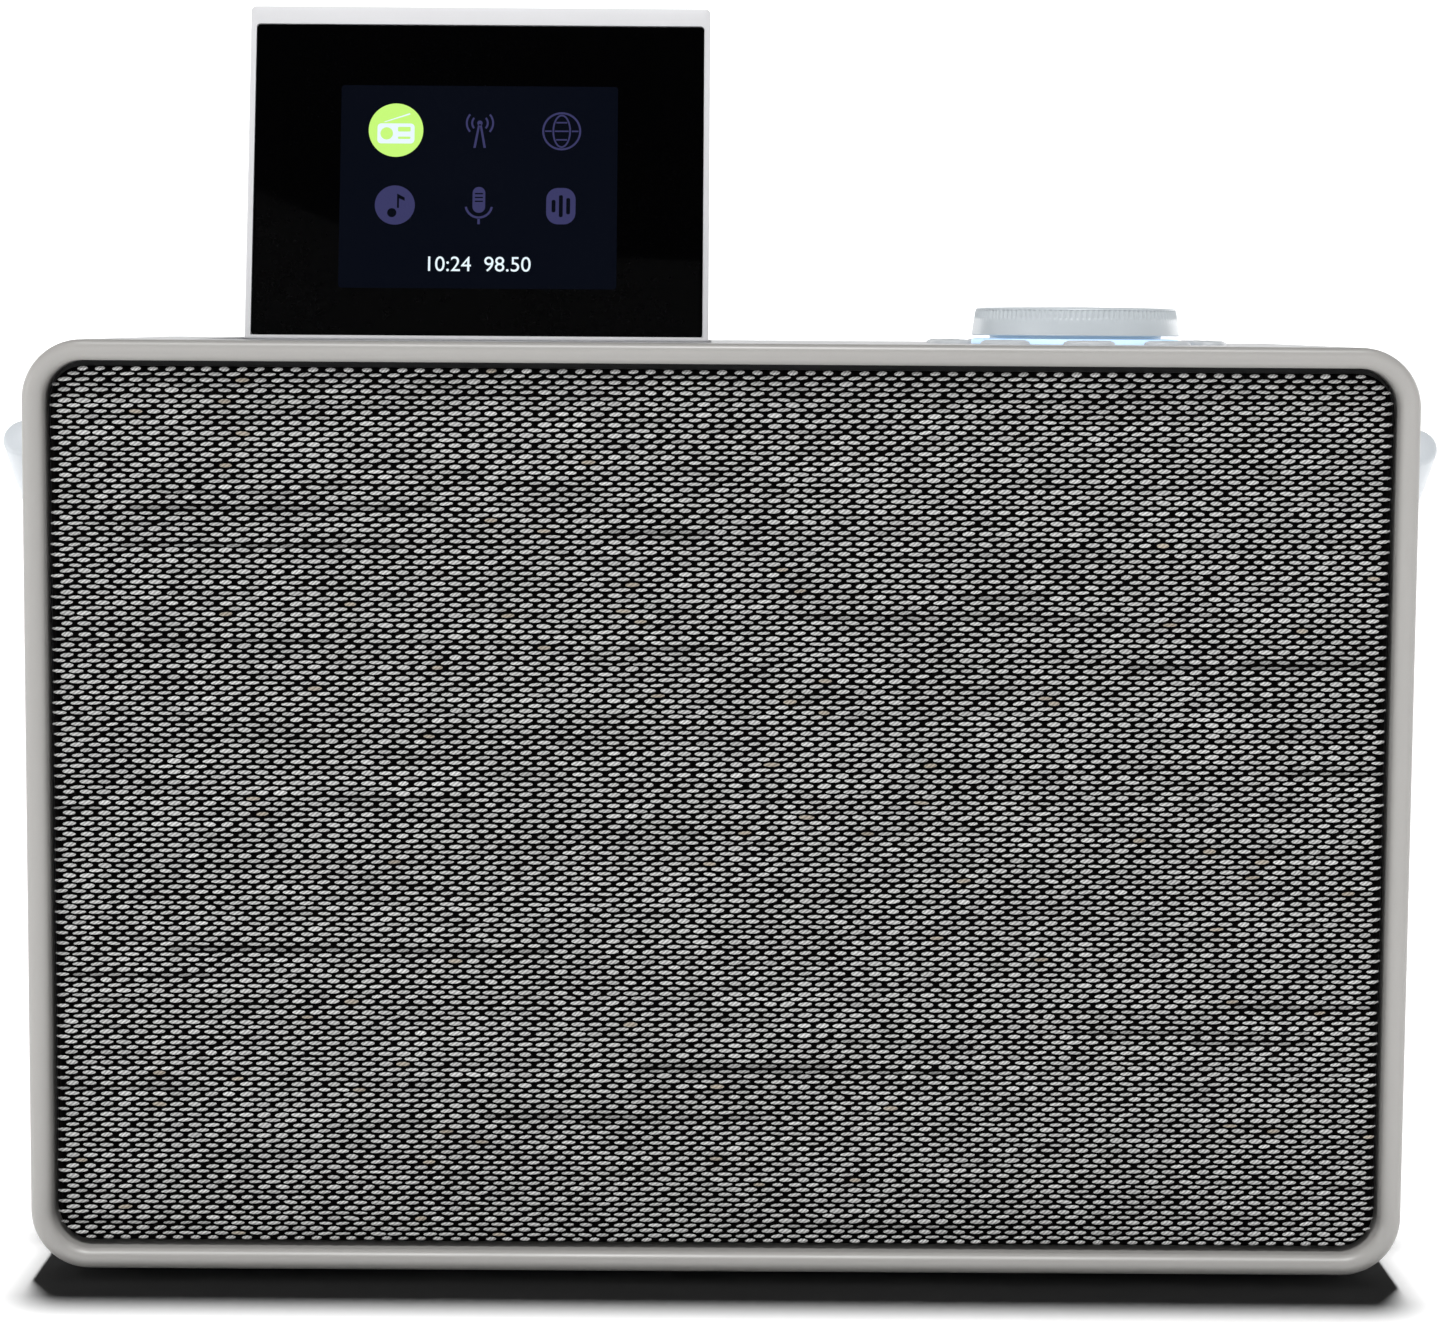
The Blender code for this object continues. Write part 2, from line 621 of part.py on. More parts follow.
def make_case():
    walls = prism([body_outline(), body_outline(WALL)], CASE_FRONT, CASE_BACK, "Y")
    shell = part("case_shell", walls, SHELL)

    # The tray that the display folds into
    half = RECESS_WIDTH / 2
    join(
        shell,
        block(
            (DISPLAY_X - half - RECESS_WALL, RECESS_FRONT - RECESS_WALL, RECESS_FLOOR - WALL),
            (DISPLAY_X + half + RECESS_WALL, min(RECESS_BACK + RECESS_WALL, CASE_BACK), TOP - WALL / 2),
        ),
    )
    boss = rod(SCREW_BOSS, CASE_BACK - SCREW_BOSS_LENGTH, CASE_BACK - FIT, "Y", 16)
    join(shell, *[moved(boss, (x, 0, z)) for x, z in screw_places()])
    post = rod(BOARD_POST, BOARD_TOP + FIT, TOP - WALL / 2, "Z", 12)
    offsets = both_sides(POST_OFFSET)
    join(shell, *[moved(post, (DIAL_X + x, DIAL_FRONT + y, 0)) for x in offsets for y in offsets])

    tray = block(
        (DISPLAY_X - half, RECESS_FRONT, RECESS_FLOOR),
        (DISPLAY_X + half, RECESS_BACK, TOP + OVERCUT),
    )
    cut(shell, tray)
    pin_reach = half + RECESS_WALL + OVERCUT
    pin_hole = rod(HINGE_PIN_RADIUS + FIT, DISPLAY_X - pin_reach, DISPLAY_X + pin_reach, "X", 12)
    cut(shell, moved(pin_hole, (0, HINGE_Y, HINGE_Z)))

    # The dial's light ring seat and shaft hole, and the button holes round them
    seat = prism(
        [circle(DIAL_RADIUS + FIT, steps=32), circle(DIAL_RADIUS - RING_WIDTH - FIT, steps=32)],
        TOP - RING_SEAT,
        TOP + OVERCUT,
    )
    cut(shell, moved(seat, (DIAL_X, DIAL_FRONT, 0)))
    shaft_hole = rod(SHAFT_RADIUS + RUNNING, TOP - WALL - OVERCUT, TOP + OVERCUT)
    cut(shell, moved(shaft_hole, (DIAL_X, DIAL_FRONT, 0)))
    hole = prism([button_outline(RUNNING)], TOP - WALL - OVERCUT, TOP + OVERCUT)
    for angle in button_angles():
        turned_hole = hole.copy()
        turned_hole.transform(button_matrix(angle))
        cut(shell, turned_hole)

    handle_hole = rod(PIVOT_RADIUS + FIT, -BODY_WIDTH, BODY_WIDTH, "X")
    cut(shell, moved(handle_hole, (0, HANDLE_PIVOT_FRONT, PIVOT_Z)))
    peg_hole = rod(FOOT_PEG + FIT, 0, FOOT_LIFT + WALL + OVERCUT, "Z", 12)
    cut(shell, *[moved(peg_hole, (x, y, 0)) for x, y in foot_places()])
    screw_hole = rod(SCREW_SHANK + FIT, COVER_WALL_FRONT - SCREW_LENGTH, BODY_DEPTH, "Y", 12)
    cut(shell, *[moved(screw_hole, (x, 0, z)) for x, z in screw_places()])


def button_matrix(angle):
    """Moves a button drawn at the origin, its depth along Y, to its place in the ring."""
    place = (DIAL_X + BUTTON_RING * math.cos(angle), DIAL_FRONT + BUTTON_RING * math.sin(angle), 0)
    return Matrix.Translation(place) @ Matrix.Rotation(angle + math.pi / 2, 4, "Z")


def make_feet():
    foot = turned(
        [
            (0, FOOT_LIFT + WALL - FIT),
            (FOOT_PEG, FOOT_LIFT + WALL - FIT),
            (FOOT_PEG, FOOT_LIFT - FIT),
            (FOOT_RADIUS, FOOT_LIFT - FIT),
            (FOOT_RADIUS, FOOT_BEVEL),
            (FOOT_RADIUS - FOOT_BEVEL, 0),
            (0, 0),
        ],
        steps=12,
    )
    for index, (x, y) in enumerate(foot_places(), 1):
        part(f"foot_{index}", foot.copy(), RUBBER, (x, y, 0))


# Back

def make_cover():
    solid = prism([body_outline()], COVER_FRONT, BODY_DEPTH, "Y")
    round_edges(solid, lambda point: point.y > BODY_DEPTH - COVER_ROUND / 4, COVER_ROUND)
    cover = part("rear_cover", solid, SHELL)
    hollow_bottom = FOOT_LIFT + WALL
    hollow = rounded_rectangle(
        BODY_WIDTH - 2 * WALL,
        BAND_BOTTOM - hollow_bottom,
        BODY_CORNER - WALL,
        (0, (BAND_BOTTOM + hollow_bottom) / 2),
        6,
    )
    cut(cover, prism([hollow], COVER_FRONT - OVERCUT, COVER_WALL_FRONT, "Y"))
    boss = rod(SCREW_BOSS, COVER_FRONT + FIT, COVER_WALL_FRONT + WALL / 4, "Y", 16)
    join(cover, *[moved(boss, (x, 0, z)) for x, z in screw_places()])
    # The step is open at the left, so that the sections can be drawn out of the lying tube
    step = block(
        (-BODY_WIDTH / 2 - OVERCUT, BODY_DEPTH - STEP_DEPTH, TOP - STEP_HEIGHT),
        (AERIAL_FROM_CENTRE + EYE_REACH, BODY_DEPTH + OVERCUT, TOP + OVERCUT),
    )
    cut(cover, step)

    wall_cut = (COVER_WALL_FRONT - OVERCUT, BODY_DEPTH + OVERCUT, "Y")
    door_size = (DOOR_WIDTH + 2 * RUNNING, DOOR_HEIGHT + 2 * RUNNING)
    cut(cover, prism([rounded_rectangle(*door_size, DOOR_CORNER + RUNNING, (0, DOOR_Z))], *wall_cut))
    shank = rod(SCREW_SHANK + FIT, COVER_FRONT - OVERCUT, BODY_DEPTH + OVERCUT, "Y", 12)
    head = rod(SCREW_HEAD + FIT, BODY_DEPTH - WALL / 2, BODY_DEPTH + OVERCUT, "Y", 16)
    for x, z in screw_places():
        cut(cover, moved(shank, (x, 0, z)), moved(head, (x, 0, z)))
    for index, outline in enumerate(port_openings()):
        x = PORT_FIRST + index * PORT_SPACING
        cut(cover, moved(prism([outline], *wall_cut), (x, 0, PORT_Z)))
    stub = rod(SWIVEL_RADIUS / 2 + FIT, COVER_FRONT - OVERCUT, BODY_DEPTH, "Y", 16)
    cut(cover, moved(stub, (AERIAL_FROM_CENTRE, 0, AERIAL_Z)))


def make_screws():
    tip = COVER_WALL_FRONT - SCREW_LENGTH + WALL
    under_head = BODY_DEPTH - WALL / 2 + FIT
    screw = turned(
        [
            (0, BODY_DEPTH - FIT),
            (SCREW_HEAD - SCREW_HEAD_BEVEL, BODY_DEPTH - FIT),
            (SCREW_HEAD, under_head + (BODY_DEPTH - FIT - under_head) / 2),
            (SCREW_HEAD, under_head),
            (SCREW_SHANK, under_head),
            (SCREW_SHANK, tip + SCREW_SHANK),
            (0, tip),
        ],
        "Y",
        12,
    )
    slot = SCREW_SLOT / 2
    arm = SCREW_HEAD - 2 * SCREW_HEAD_BEVEL
    slot_floor = BODY_DEPTH - SCREW_SLOT_DEPTH
    for index, (x, z) in enumerate(screw_places(), 1):
        obj = part(f"rear_screw_{index}", screw.copy(), STEEL, (x, 0, z))
        cut(obj, block((-arm, slot_floor, -slot), (arm, BODY_DEPTH + OVERCUT, slot)))
        cut(obj, block((-slot, slot_floor, -arm), (slot, BODY_DEPTH + OVERCUT, arm)))


def make_battery():
    inner = rounded_rectangle(DOOR_WIDTH, DOOR_HEIGHT, DOOR_CORNER, (0, DOOR_Z))
    outer_size = (DOOR_WIDTH + 2 * BAY_WALL, DOOR_HEIGHT + 2 * BAY_WALL)
    outer = rounded_rectangle(*outer_size, DOOR_CORNER + BAY_WALL, (0, DOOR_Z))
    bay = part("battery_bay", prism([outer], BAY_FRONT, BAY_BACK, "Y"), BLACK)
    leg_bottom = FOOT_LIFT + WALL + FIT
    leg_top = DOOR_Z - DOOR_HEIGHT / 2 - BAY_WALL / 2
    for x in both_sides(DOOR_WIDTH / 3):
        low = (x - BAY_WALL, BAY_FRONT + BAY_WALL, leg_bottom)
        high = (x + BAY_WALL, BAY_BACK - BATTERY_ROOM, leg_top)
        join(bay, block(low, high))
    cut(bay, prism([inner], BAY_FRONT + BAY_WALL, BAY_BACK + OVERCUT, "Y"))

    pack_size = (DOOR_WIDTH - 2 * BATTERY_GAP, DOOR_HEIGHT - 2 * BATTERY_GAP)
    pack = rounded_rectangle(*pack_size, DOOR_CORNER - BATTERY_GAP, (0, DOOR_Z))
    pack_front = BAY_FRONT + BAY_WALL + FIT
    part("battery_pack", prism([pack], pack_front, pack_front + BATTERY_DEPTH, "Y"), WRAP)

    plate = rounded_rectangle(DOOR_WIDTH, DOOR_HEIGHT, DOOR_CORNER)
    plate_front = COVER_WALL_FRONT + RUNNING
    door = part("battery_door", prism([plate], plate_front, BODY_DEPTH - FIT, "Y"), SHELL, (0, 0, DOOR_Z))
    grip = rod(DOOR_GRIP_RADIUS, -DOOR_GRIP_LENGTH / 2, DOOR_GRIP_LENGTH / 2, "X", 16)
    cut(door, moved(grip, (0, BODY_DEPTH + DOOR_GRIP_RADIUS / 2, DOOR_HEIGHT / 2 - DOOR_GRIP_DROP)))


def port_openings():
    """Holes in the cover for the power inlet, the headphone socket and the data socket."""
    usb = rounded_rectangle(USB_SIZE[0] + 2 * FIT, USB_SIZE[1] + 2 * FIT, USB_CORNER + FIT)
    return [circle(INLET_RADIUS + FIT), circle(SOCKET_RADIUS + FIT), usb]


def collared(bore, radius):
    """The outside of a round socket, from its mouth back: a nose in the cover's hole, then a wider body."""
    shoulder = COVER_WALL_FRONT - FIT
    body = radius + PORT_COLLAR
    nose = [(bore, PORT_NOSE), (radius, PORT_NOSE), (radius, shoulder)]
    return [*nose, (body, shoulder), (body, PORT_BACK), (0, PORT_BACK)]


def make_ports():
    bore_end = PORT_NOSE - PORT_BORE_DEPTH
    pin_end = PORT_NOSE - INLET_PIN
    pin = [(0, pin_end), (INLET_PIN, pin_end), (INLET_PIN, bore_end), (INLET_BORE, bore_end)]
    inlet = turned(pin + collared(INLET_BORE, INLET_RADIUS), "Y", 16)
    part("dc_jack", inlet, BLACK, (PORT_FIRST, 0, PORT_Z))

    bore = [(0, bore_end), (SOCKET_BORE, bore_end)]
    socket = turned(bore + collared(SOCKET_BORE, SOCKET_RADIUS), "Y", 16)
    part("aux_jack", socket, BLACK, (PORT_FIRST + PORT_SPACING, 0, PORT_Z))

    width, height = USB_SIZE
    outside = rounded_rectangle(width, height, USB_CORNER)
    inside = rounded_rectangle(width - 2 * USB_SKIN, height - 2 * USB_SKIN, USB_CORNER - USB_SKIN)
    place = (PORT_FIRST + 2 * PORT_SPACING, 0, PORT_Z)
    usb = part("usb_port", prism([outside], PORT_BACK, PORT_NOSE, "Y"), STEEL, place)
    cut(usb, prism([inside], bore_end, PORT_NOSE + OVERCUT, "Y"))
    half_width, half_height = USB_TONGUE[0] / 2, USB_TONGUE[1] / 2
    tongue_end = PORT_NOSE - 2 * USB_SKIN
    join(usb, block((-half_width, bore_end - USB_SKIN, -half_height), (half_width, tongue_end, half_height)))

    plate_width = 2 * (PORT_SPACING + PORT_BOARD_MARGIN)
    centre = (PORT_FIRST + PORT_SPACING, PORT_Z)
    plate = rounded_rectangle(plate_width, PORT_BOARD_HEIGHT, SMALLEST_CORNER, centre)
    plate_back = PORT_BACK - FIT
    part("port_board", prism([plate], plate_back - BOARD_THICKNESS, plate_back, "Y"), BOARD)


# Electronics inside

def make_boards():
    main = rounded_rectangle(MAIN_BOARD_WIDTH, MAIN_BOARD_HEIGHT, MAIN_BOARD_CORNER, (0, DRIVER_Z))
    part("main_board", prism([main], MAIN_BOARD_FRONT, MAIN_BOARD_BACK, "Y"), BOARD)
    low = Vector((DISPLAY_X + RIBBON_WIDTH, MAIN_BOARD_BACK + FIT, DRIVER_Z))
    part("radio_module", block(low, low + Vector(MODULE_SIZE)), STEEL)

    board = rounded_rectangle(2 * BOARD_HALF, 2 * BOARD_HALF, BOARD_CORNER)
    plate = prism([board], BOARD_TOP - BOARD_THICKNESS, BOARD_TOP)
    part("control_board", plate, BOARD, (DIAL_X, DIAL_FRONT, 0))


def make_ribbon():
    """The flat cable from the main board to the display's hinge."""
    board_top = DRIVER_Z + MAIN_BOARD_HEIGHT / 2
    on_board = MAIN_BOARD_BACK + 2 * FIT
    tray_bottom = RECESS_FLOOR - WALL
    route = [
        (on_board, board_top - RIBBON_LAP),
        (on_board, board_top),
        (on_board + RIBBON_BEND, tray_bottom - 2 * RIBBON_BEND),
        (HINGE_Y - 2 * RIBBON_BEND, tray_bottom - RIBBON_BEND),
        (HINGE_Y - HALF_DISPLAY, tray_bottom - 2 * RIBBON_THICKNESS),
    ]
    mesh = bpy.data.meshes.new("ribbon")
    ends = both_sides(RIBBON_WIDTH / 2)
    points = [(x, y, z) for y, z in route for x in ends]
    mesh.from_pydata(points, [], [(2 * i, 2 * i + 1, 2 * i + 3, 2 * i + 2) for i in range(len(route) - 1)])
    ribbon = part("display_ribbon", mesh, WRAP, (DISPLAY_X, 0, 0))
    thick = ribbon.modifiers.new("thickness", "SOLIDIFY")
    thick.thickness = RIBBON_THICKNESS
    thick.offset = 0


# Display, drawn upright about its hinge axis, its glass towards -Y

def display_part(name, mesh, material):
    return part(name, mesh, material, (DISPLAY_X, HINGE_Y, HINGE_Z), (-DISPLAY_LEAN, 0, 0))


def display_outline(low):
    """The housing from a height above the hinge up to its top, with rounded top corners."""
    half = DISPLAY_WIDTH / 2
    points = [(-half, low), (half, low)]
    for corner, side in ((0, 1), (1, -1)):
        for step in range(6):
            angle = math.pi / 2 * (corner + step / 5)
            x = side * (half - DISPLAY_CORNER) + DISPLAY_CORNER * math.cos(angle)
            points.append((x, DISPLAY_LENGTH - DISPLAY_CORNER * (1 - math.sin(angle))))
    return points


def make_display():
    front = -HALF_DISPLAY
    split = front + BEZEL_DEPTH
    glass_front = front + GLASS_SINK
    glass_back = glass_front + GLASS_THICKNESS
    half_width = DISPLAY_WIDTH / 2
    glass_top = DISPLAY_LENGTH - BEZEL_TOP
    glass_middle = (0, (GLASS_START + glass_top) / 2)
    glass_size = Vector((DISPLAY_WIDTH - 2 * BEZEL_SIDE, glass_top - GLASS_START))
    gap = Vector((FIT, FIT))

    # The bezel: a tray that holds the glass in front and the screen behind it, with a lip before the barrel
    plate = prism([display_outline(HALF_DISPLAY + FIT)], front, split, "Y")
    bezel = display_part("display_bezel", plate, SHELL)
    lip_top = HALF_DISPLAY + SMALLEST_CORNER
    join(bezel, block((-half_width, front, GLASS_START - BEZEL_LIP), (half_width, glass_back, lip_top)))
    glass_seat = rounded_rectangle(*glass_size, GLASS_CORNER, glass_middle)
    cut(bezel, prism([glass_seat], front - OVERCUT, glass_back + FIT, "Y"))
    screen_seat = rounded_rectangle(LCD_WIDTH + 2 * FIT, LCD_HEIGHT + 2 * FIT, LCD_CORNER, (0, LCD_CENTRE))
    cut(bezel, prism([screen_seat], glass_front, split + OVERCUT, "Y"))

    glass = rounded_rectangle(*(glass_size - 2 * gap), GLASS_CORNER - FIT, glass_middle)
    display_part("display_glass", prism([glass], glass_front, glass_back, "Y"), GLASS)
    screen = rounded_rectangle(LCD_WIDTH, LCD_HEIGHT, LCD_CORNER, (0, LCD_CENTRE))
    screen_front = glass_back + FIT
    display_part("lcd_panel", prism([screen], screen_front, screen_front + LCD_THICKNESS, "Y"), SCREEN)

    # The back half, whose lower end is the hinge's round barrel
    back = prism([display_outline(0)], split + FIT, HALF_DISPLAY, "Y")
    round_edges(back, lambda p: p.y > HALF_DISPLAY - ON_PLANE and p.z > ON_PLANE, DISPLAY_BACK_ROUND)
    shell = display_part("display_shell", back, SHELL)
    join(shell, rod(HALF_DISPLAY - FIT, -half_width, half_width, "X", 24))
    bore_end = half_width - HINGE_PIN_LENGTH / 2 - RUNNING - RECESS_GAP
    for ends in ((-half_width - OVERCUT, -bore_end), (bore_end, half_width + OVERCUT)):
        cut(shell, rod(HINGE_PIN_RADIUS + RUNNING, *ends, "X", 12))

    pin = rod(HINGE_PIN_RADIUS, -HINGE_PIN_LENGTH / 2, HINGE_PIN_LENGTH / 2, "X", 12)
    for side, x in (("left", -half_width), ("right", half_width)):
        part(f"display_pin_{side}", pin.copy(), STEEL, (DISPLAY_X + x, HINGE_Y, HINGE_Z))


# Dial and buttons

def make_dial():
    centre = (DIAL_X, DIAL_FRONT, 0)
    ring = prism(
        [circle(DIAL_RADIUS, steps=32), circle(DIAL_RADIUS - RING_WIDTH, steps=32)],
        TOP - RING_SEAT + FIT,
        TOP + RING_PROUD,
    )
    part("light_ring", ring, GLOW, centre)

    knob_bottom = TOP + KNOB_BASE
    knob_top = knob_bottom + KNOB_HEIGHT
    bore = SHAFT_RADIUS + FIT
    bore_top = knob_bottom + KNOB_BORE_DEPTH
    face = DIAL_RADIUS - KNOB_TAPER
    knob = turned(
        [
            (0, knob_top),
            (face * 0.6, knob_top - KNOB_DOME / 3),
            (face - KNOB_EDGE, knob_top - KNOB_DOME),
            (face, knob_top - KNOB_DOME - KNOB_EDGE),
            (DIAL_RADIUS - KNOB_TAPER / 5, knob_bottom + KNOB_HEIGHT / 2),
            (DIAL_RADIUS, knob_bottom),
            (bore, knob_bottom),
            (bore, bore_top),
            (0, bore_top),
        ],
        steps=40,
    )
    part("dial_knob", knob, KNOB, centre)

    encoder_bottom = BOARD_TOP + FIT
    encoder_top = BOARD_TOP + ENCODER_HEIGHT
    floor = encoder_bottom + ENCODER_FLOOR
    housing = rounded_rectangle(ENCODER_SIZE, ENCODER_SIZE, SMALLEST_CORNER)
    encoder = part("encoder_body", prism([housing], encoder_bottom, encoder_top), STEEL, centre)
    cut(encoder, rod(SHAFT_RADIUS + RUNNING, floor, encoder_top + OVERCUT))
    plunger_bottom = floor + PRESS_TRAVEL + FIT
    plunger_top = plunger_bottom + PLUNGER_HEIGHT
    part("switch_plunger", rod(PLUNGER_RADIUS, plunger_bottom, plunger_top), BLACK, centre)
    part("dial_shaft", rod(SHAFT_RADIUS, plunger_top + FIT, bore_top - FIT, steps=20), STEEL, centre)


def make_buttons():
    lip_top = TOP - WALL - FIT
    lip_bottom = lip_top - BUTTON_LIP_THICKNESS
    lip_middle = (lip_bottom + lip_top) / 2
    for index, angle in enumerate(button_angles(), 1):
        cap = prism([button_outline()], lip_middle, TOP + BUTTON_PROUD)
        round_edges(cap, lambda point: point.z > TOP + BUTTON_PROUD / 2, BUTTON_ROUND, 2)
        matrix = button_matrix(angle)
        button = part(f"button_{index:02d}", cap, SHELL, matrix.translation, matrix.to_euler())
        join(button, prism([button_outline(BUTTON_LIP)], lip_bottom, lip_top))
        join(button, rod(BUTTON_STEM, BOARD_TOP + PRESS_TRAVEL + 2 * FIT, lip_middle, steps=12))


# Handle, drawn lying flat behind its pivot axis

def handle_route():
    """From one nose back along the arm, round the bend, along the grip and back."""
    bend = HANDLE_REACH - HANDLE_BEND
    half = [(ARM_X, -HANDLE_NOSE, 0)]
    for step in range(7):
        angle = math.pi / 2 * step / 6
        x = ARM_X - HANDLE_BEND + HANDLE_BEND * math.cos(angle)
        half.append((x, bend + HANDLE_BEND * math.sin(angle), 0))
    return half + [(-x, y, z) for x, y, z in reversed(half)]


def make_handle():
    bar = tube_along(handle_route(), ROD_RADIUS)
    pivot = (0, HANDLE_PIVOT_FRONT, PIVOT_Z)
    handle = part("handle_bar", bar, ROD, pivot, (-HANDLE_SLOPE, 0, 0))
    bore_end = ARM_X + PIVOT_BEYOND_AXIS
    bore_start = ARM_X - ROD_RADIUS - OVERCUT
    for ends in ((-bore_end, -bore_start), (bore_start, bore_end)):
        cut(handle, rod(PIVOT_RADIUS + RUNNING, *ends, "X", 16))

    wall = BODY_WIDTH / 2
    pin = turned(
        [
            (0, bore_end - FIT),
            (PIVOT_RADIUS, bore_end - FIT),
            (PIVOT_RADIUS, wall + ARM_GAP - FIT),
            (PIVOT_BOSS, wall + ARM_GAP - FIT),
            (PIVOT_BOSS, wall + FIT),
            (PIVOT_RADIUS, wall + FIT),
            (PIVOT_RADIUS, wall - 2 * WALL),
            (0, wall - 2 * WALL),
        ],
        "X",
        12,
    )
    part("handle_pin_right", pin, STEEL, pivot)
    part("handle_pin_left", pin.copy(), STEEL, pivot, (0, math.pi, 0))


# Aerial, drawn about the swivel with its rod along -X

def half_circle(radius, steps=10):
    """The half of a circle on the +X side, from its lowest point to its highest."""
    angles = (math.pi * (step / steps - 0.5) for step in range(steps + 1))
    return [(radius * math.cos(a), radius * math.sin(a)) for a in angles]


def make_swivel(centre):
    floor = BODY_DEPTH - STEP_DEPTH - AERIAL_Y
    plate_back = floor + FIT + SWIVEL_PLATE
    plate_middle = plate_back - SWIVEL_PLATE / 2
    swivel = part("aerial_swivel", rod(SWIVEL_RADIUS, floor + FIT, plate_back, "Y", 24), BLACK, centre)
    join(swivel, rod(SWIVEL_RADIUS / 2, floor - SWIVEL_STUB_LENGTH, plate_middle, "Y", 16))
    ear_near = EYE_THICKNESS / 2 + FIT
    ear_far = ear_near + EAR_THICKNESS
    for low, high in ((ear_near, ear_far), (-ear_far, -ear_near)):
        join(swivel, block((-EYE_RADIUS, plate_middle, low), (EYE_RADIUS, EYE_RADIUS, high)))
    cut(swivel, rod(AERIAL_PIN + FIT, -ear_far - OVERCUT, ear_far + OVERCUT, "Z", 12))
    part("aerial_pin", rod(AERIAL_PIN, -ear_far, ear_far, "Z", 12), STEEL, centre)


def make_aerial():
    centre = (AERIAL_FROM_CENTRE, AERIAL_Y, AERIAL_Z)
    make_swivel(centre)

    # The outer tube, with a flat eye at its near end and a bore for the next section
    near, far = -EYE_REACH, -EYE_REACH - AERIAL_LENGTH
    tube = part("aerial_tube", rod(AERIAL_RADIUS, far, near, "X", 20), CHROME, centre)
    eye = [(near - EYE_LAP, EYE_PLATE), (near - EYE_LAP, -EYE_PLATE), *half_circle(EYE_PLATE)]
    join(tube, prism([eye], -EYE_THICKNESS / 2, EYE_THICKNESS / 2))
    cut(tube, rod(AERIAL_PIN + FIT, -EYE_THICKNESS, EYE_THICKNESS, "Z", 12))
    bore = AERIAL_RADIUS - TUBE_WALL
    bore_near = near - TUBE_PLUG
    cut(tube, rod(bore, far - OVERCUT, bore_near, "X", 20))

    # The middle section, a tube that shows a little at the far end, and the tip with its cap
    middle_radius = bore - FIT
    middle_near = bore_near - FIT
    middle_far = far - SECTION_SHOWS
    middle = part("aerial_middle", rod(middle_radius, middle_far, middle_near, "X", 20), CHROME, centre)
    inner_bore = middle_radius - TUBE_WALL
    inner_near = middle_near - SECTION_PLUG
    cut(middle, rod(inner_bore, middle_far - OVERCUT, inner_near, "X", 20))

    tip_radius = inner_bore - TIP_GAP
    tip_near = inner_near - FIT
    cap_near = middle_far - FIT
    cap_far = cap_near - TIP_CAP
    tip = turned(
        [
            (0, tip_near),
            (tip_radius, tip_near),
            (tip_radius, cap_near),
            (AERIAL_RADIUS, cap_near),
            (AERIAL_RADIUS, cap_far + TIP_BEVEL),
            (AERIAL_RADIUS - TIP_BEVEL, cap_far),
            (0, cap_far),
        ],
        "X",
        20,
    )
    part("aerial_tip", tip, CHROME, centre)


make_front()
make_drivers()
make_case()
make_feet()
make_cover()
make_screws()
make_battery()
make_ports()
make_boards()
make_ribbon()
make_display()
make_dial()
make_buttons()
make_handle()
make_aerial()
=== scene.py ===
"""How the portable radio speaker looks: fine meshes, woven cloth, materials, light and camera.

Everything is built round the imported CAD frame, in metres and in its axes: X runs to the set's right,
-Y is its front and Z is up. The feet stand at Z = 0.
"""

import json
import math

import bmesh
import bpy
import numpy as np
from mathutils import Matrix, Vector

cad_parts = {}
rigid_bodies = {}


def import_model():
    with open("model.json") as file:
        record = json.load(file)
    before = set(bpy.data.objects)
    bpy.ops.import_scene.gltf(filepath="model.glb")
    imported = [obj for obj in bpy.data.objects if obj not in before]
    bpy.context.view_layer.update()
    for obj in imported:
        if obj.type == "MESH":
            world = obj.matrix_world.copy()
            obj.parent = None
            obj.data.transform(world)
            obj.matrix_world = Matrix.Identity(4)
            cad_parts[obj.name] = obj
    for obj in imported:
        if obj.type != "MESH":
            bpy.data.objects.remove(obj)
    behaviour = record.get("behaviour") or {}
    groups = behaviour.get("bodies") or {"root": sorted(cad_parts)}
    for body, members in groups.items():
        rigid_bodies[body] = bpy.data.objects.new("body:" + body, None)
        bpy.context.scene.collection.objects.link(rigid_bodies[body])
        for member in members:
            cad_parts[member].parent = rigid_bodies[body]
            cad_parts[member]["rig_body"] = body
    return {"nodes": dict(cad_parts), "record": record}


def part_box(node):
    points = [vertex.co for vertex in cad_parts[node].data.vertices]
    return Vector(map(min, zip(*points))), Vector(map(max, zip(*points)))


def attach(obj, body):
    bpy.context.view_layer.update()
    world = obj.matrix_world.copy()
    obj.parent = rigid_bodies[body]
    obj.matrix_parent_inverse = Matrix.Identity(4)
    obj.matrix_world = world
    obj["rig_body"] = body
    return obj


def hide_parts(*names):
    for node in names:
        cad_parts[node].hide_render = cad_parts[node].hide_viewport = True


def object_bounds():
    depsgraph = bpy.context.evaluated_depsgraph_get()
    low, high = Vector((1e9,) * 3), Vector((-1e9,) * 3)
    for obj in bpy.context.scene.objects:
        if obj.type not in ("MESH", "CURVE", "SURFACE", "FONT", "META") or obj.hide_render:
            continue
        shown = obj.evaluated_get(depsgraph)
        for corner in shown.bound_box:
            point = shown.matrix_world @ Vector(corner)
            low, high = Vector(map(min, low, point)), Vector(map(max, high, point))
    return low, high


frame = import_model()

CAD_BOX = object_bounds()
SLOTS = {part["node"]: part["material_slot"] for part in frame["record"]["subparts"]}
MM = 0.001

# Shading and fine edges
SMOOTH_ANGLE = math.radians(32)
WELD = 1e-6
FLAT_ANGLE = math.radians(0.4)
CORNER_STEPS = 20
EDGE_CUT = 0.3

# Front rim, as distances in from the outline and back from the crest
RIM_CREST = 1.55 * MM
RIM_CREST_STEPS = 8
RIM_FALL = 1.9 * MM
RIM_FALL_STEPS = 10
RIM_CLOTH_GAP = 1.0 * MM
CORNER_RADIUS = 10.8 * MM

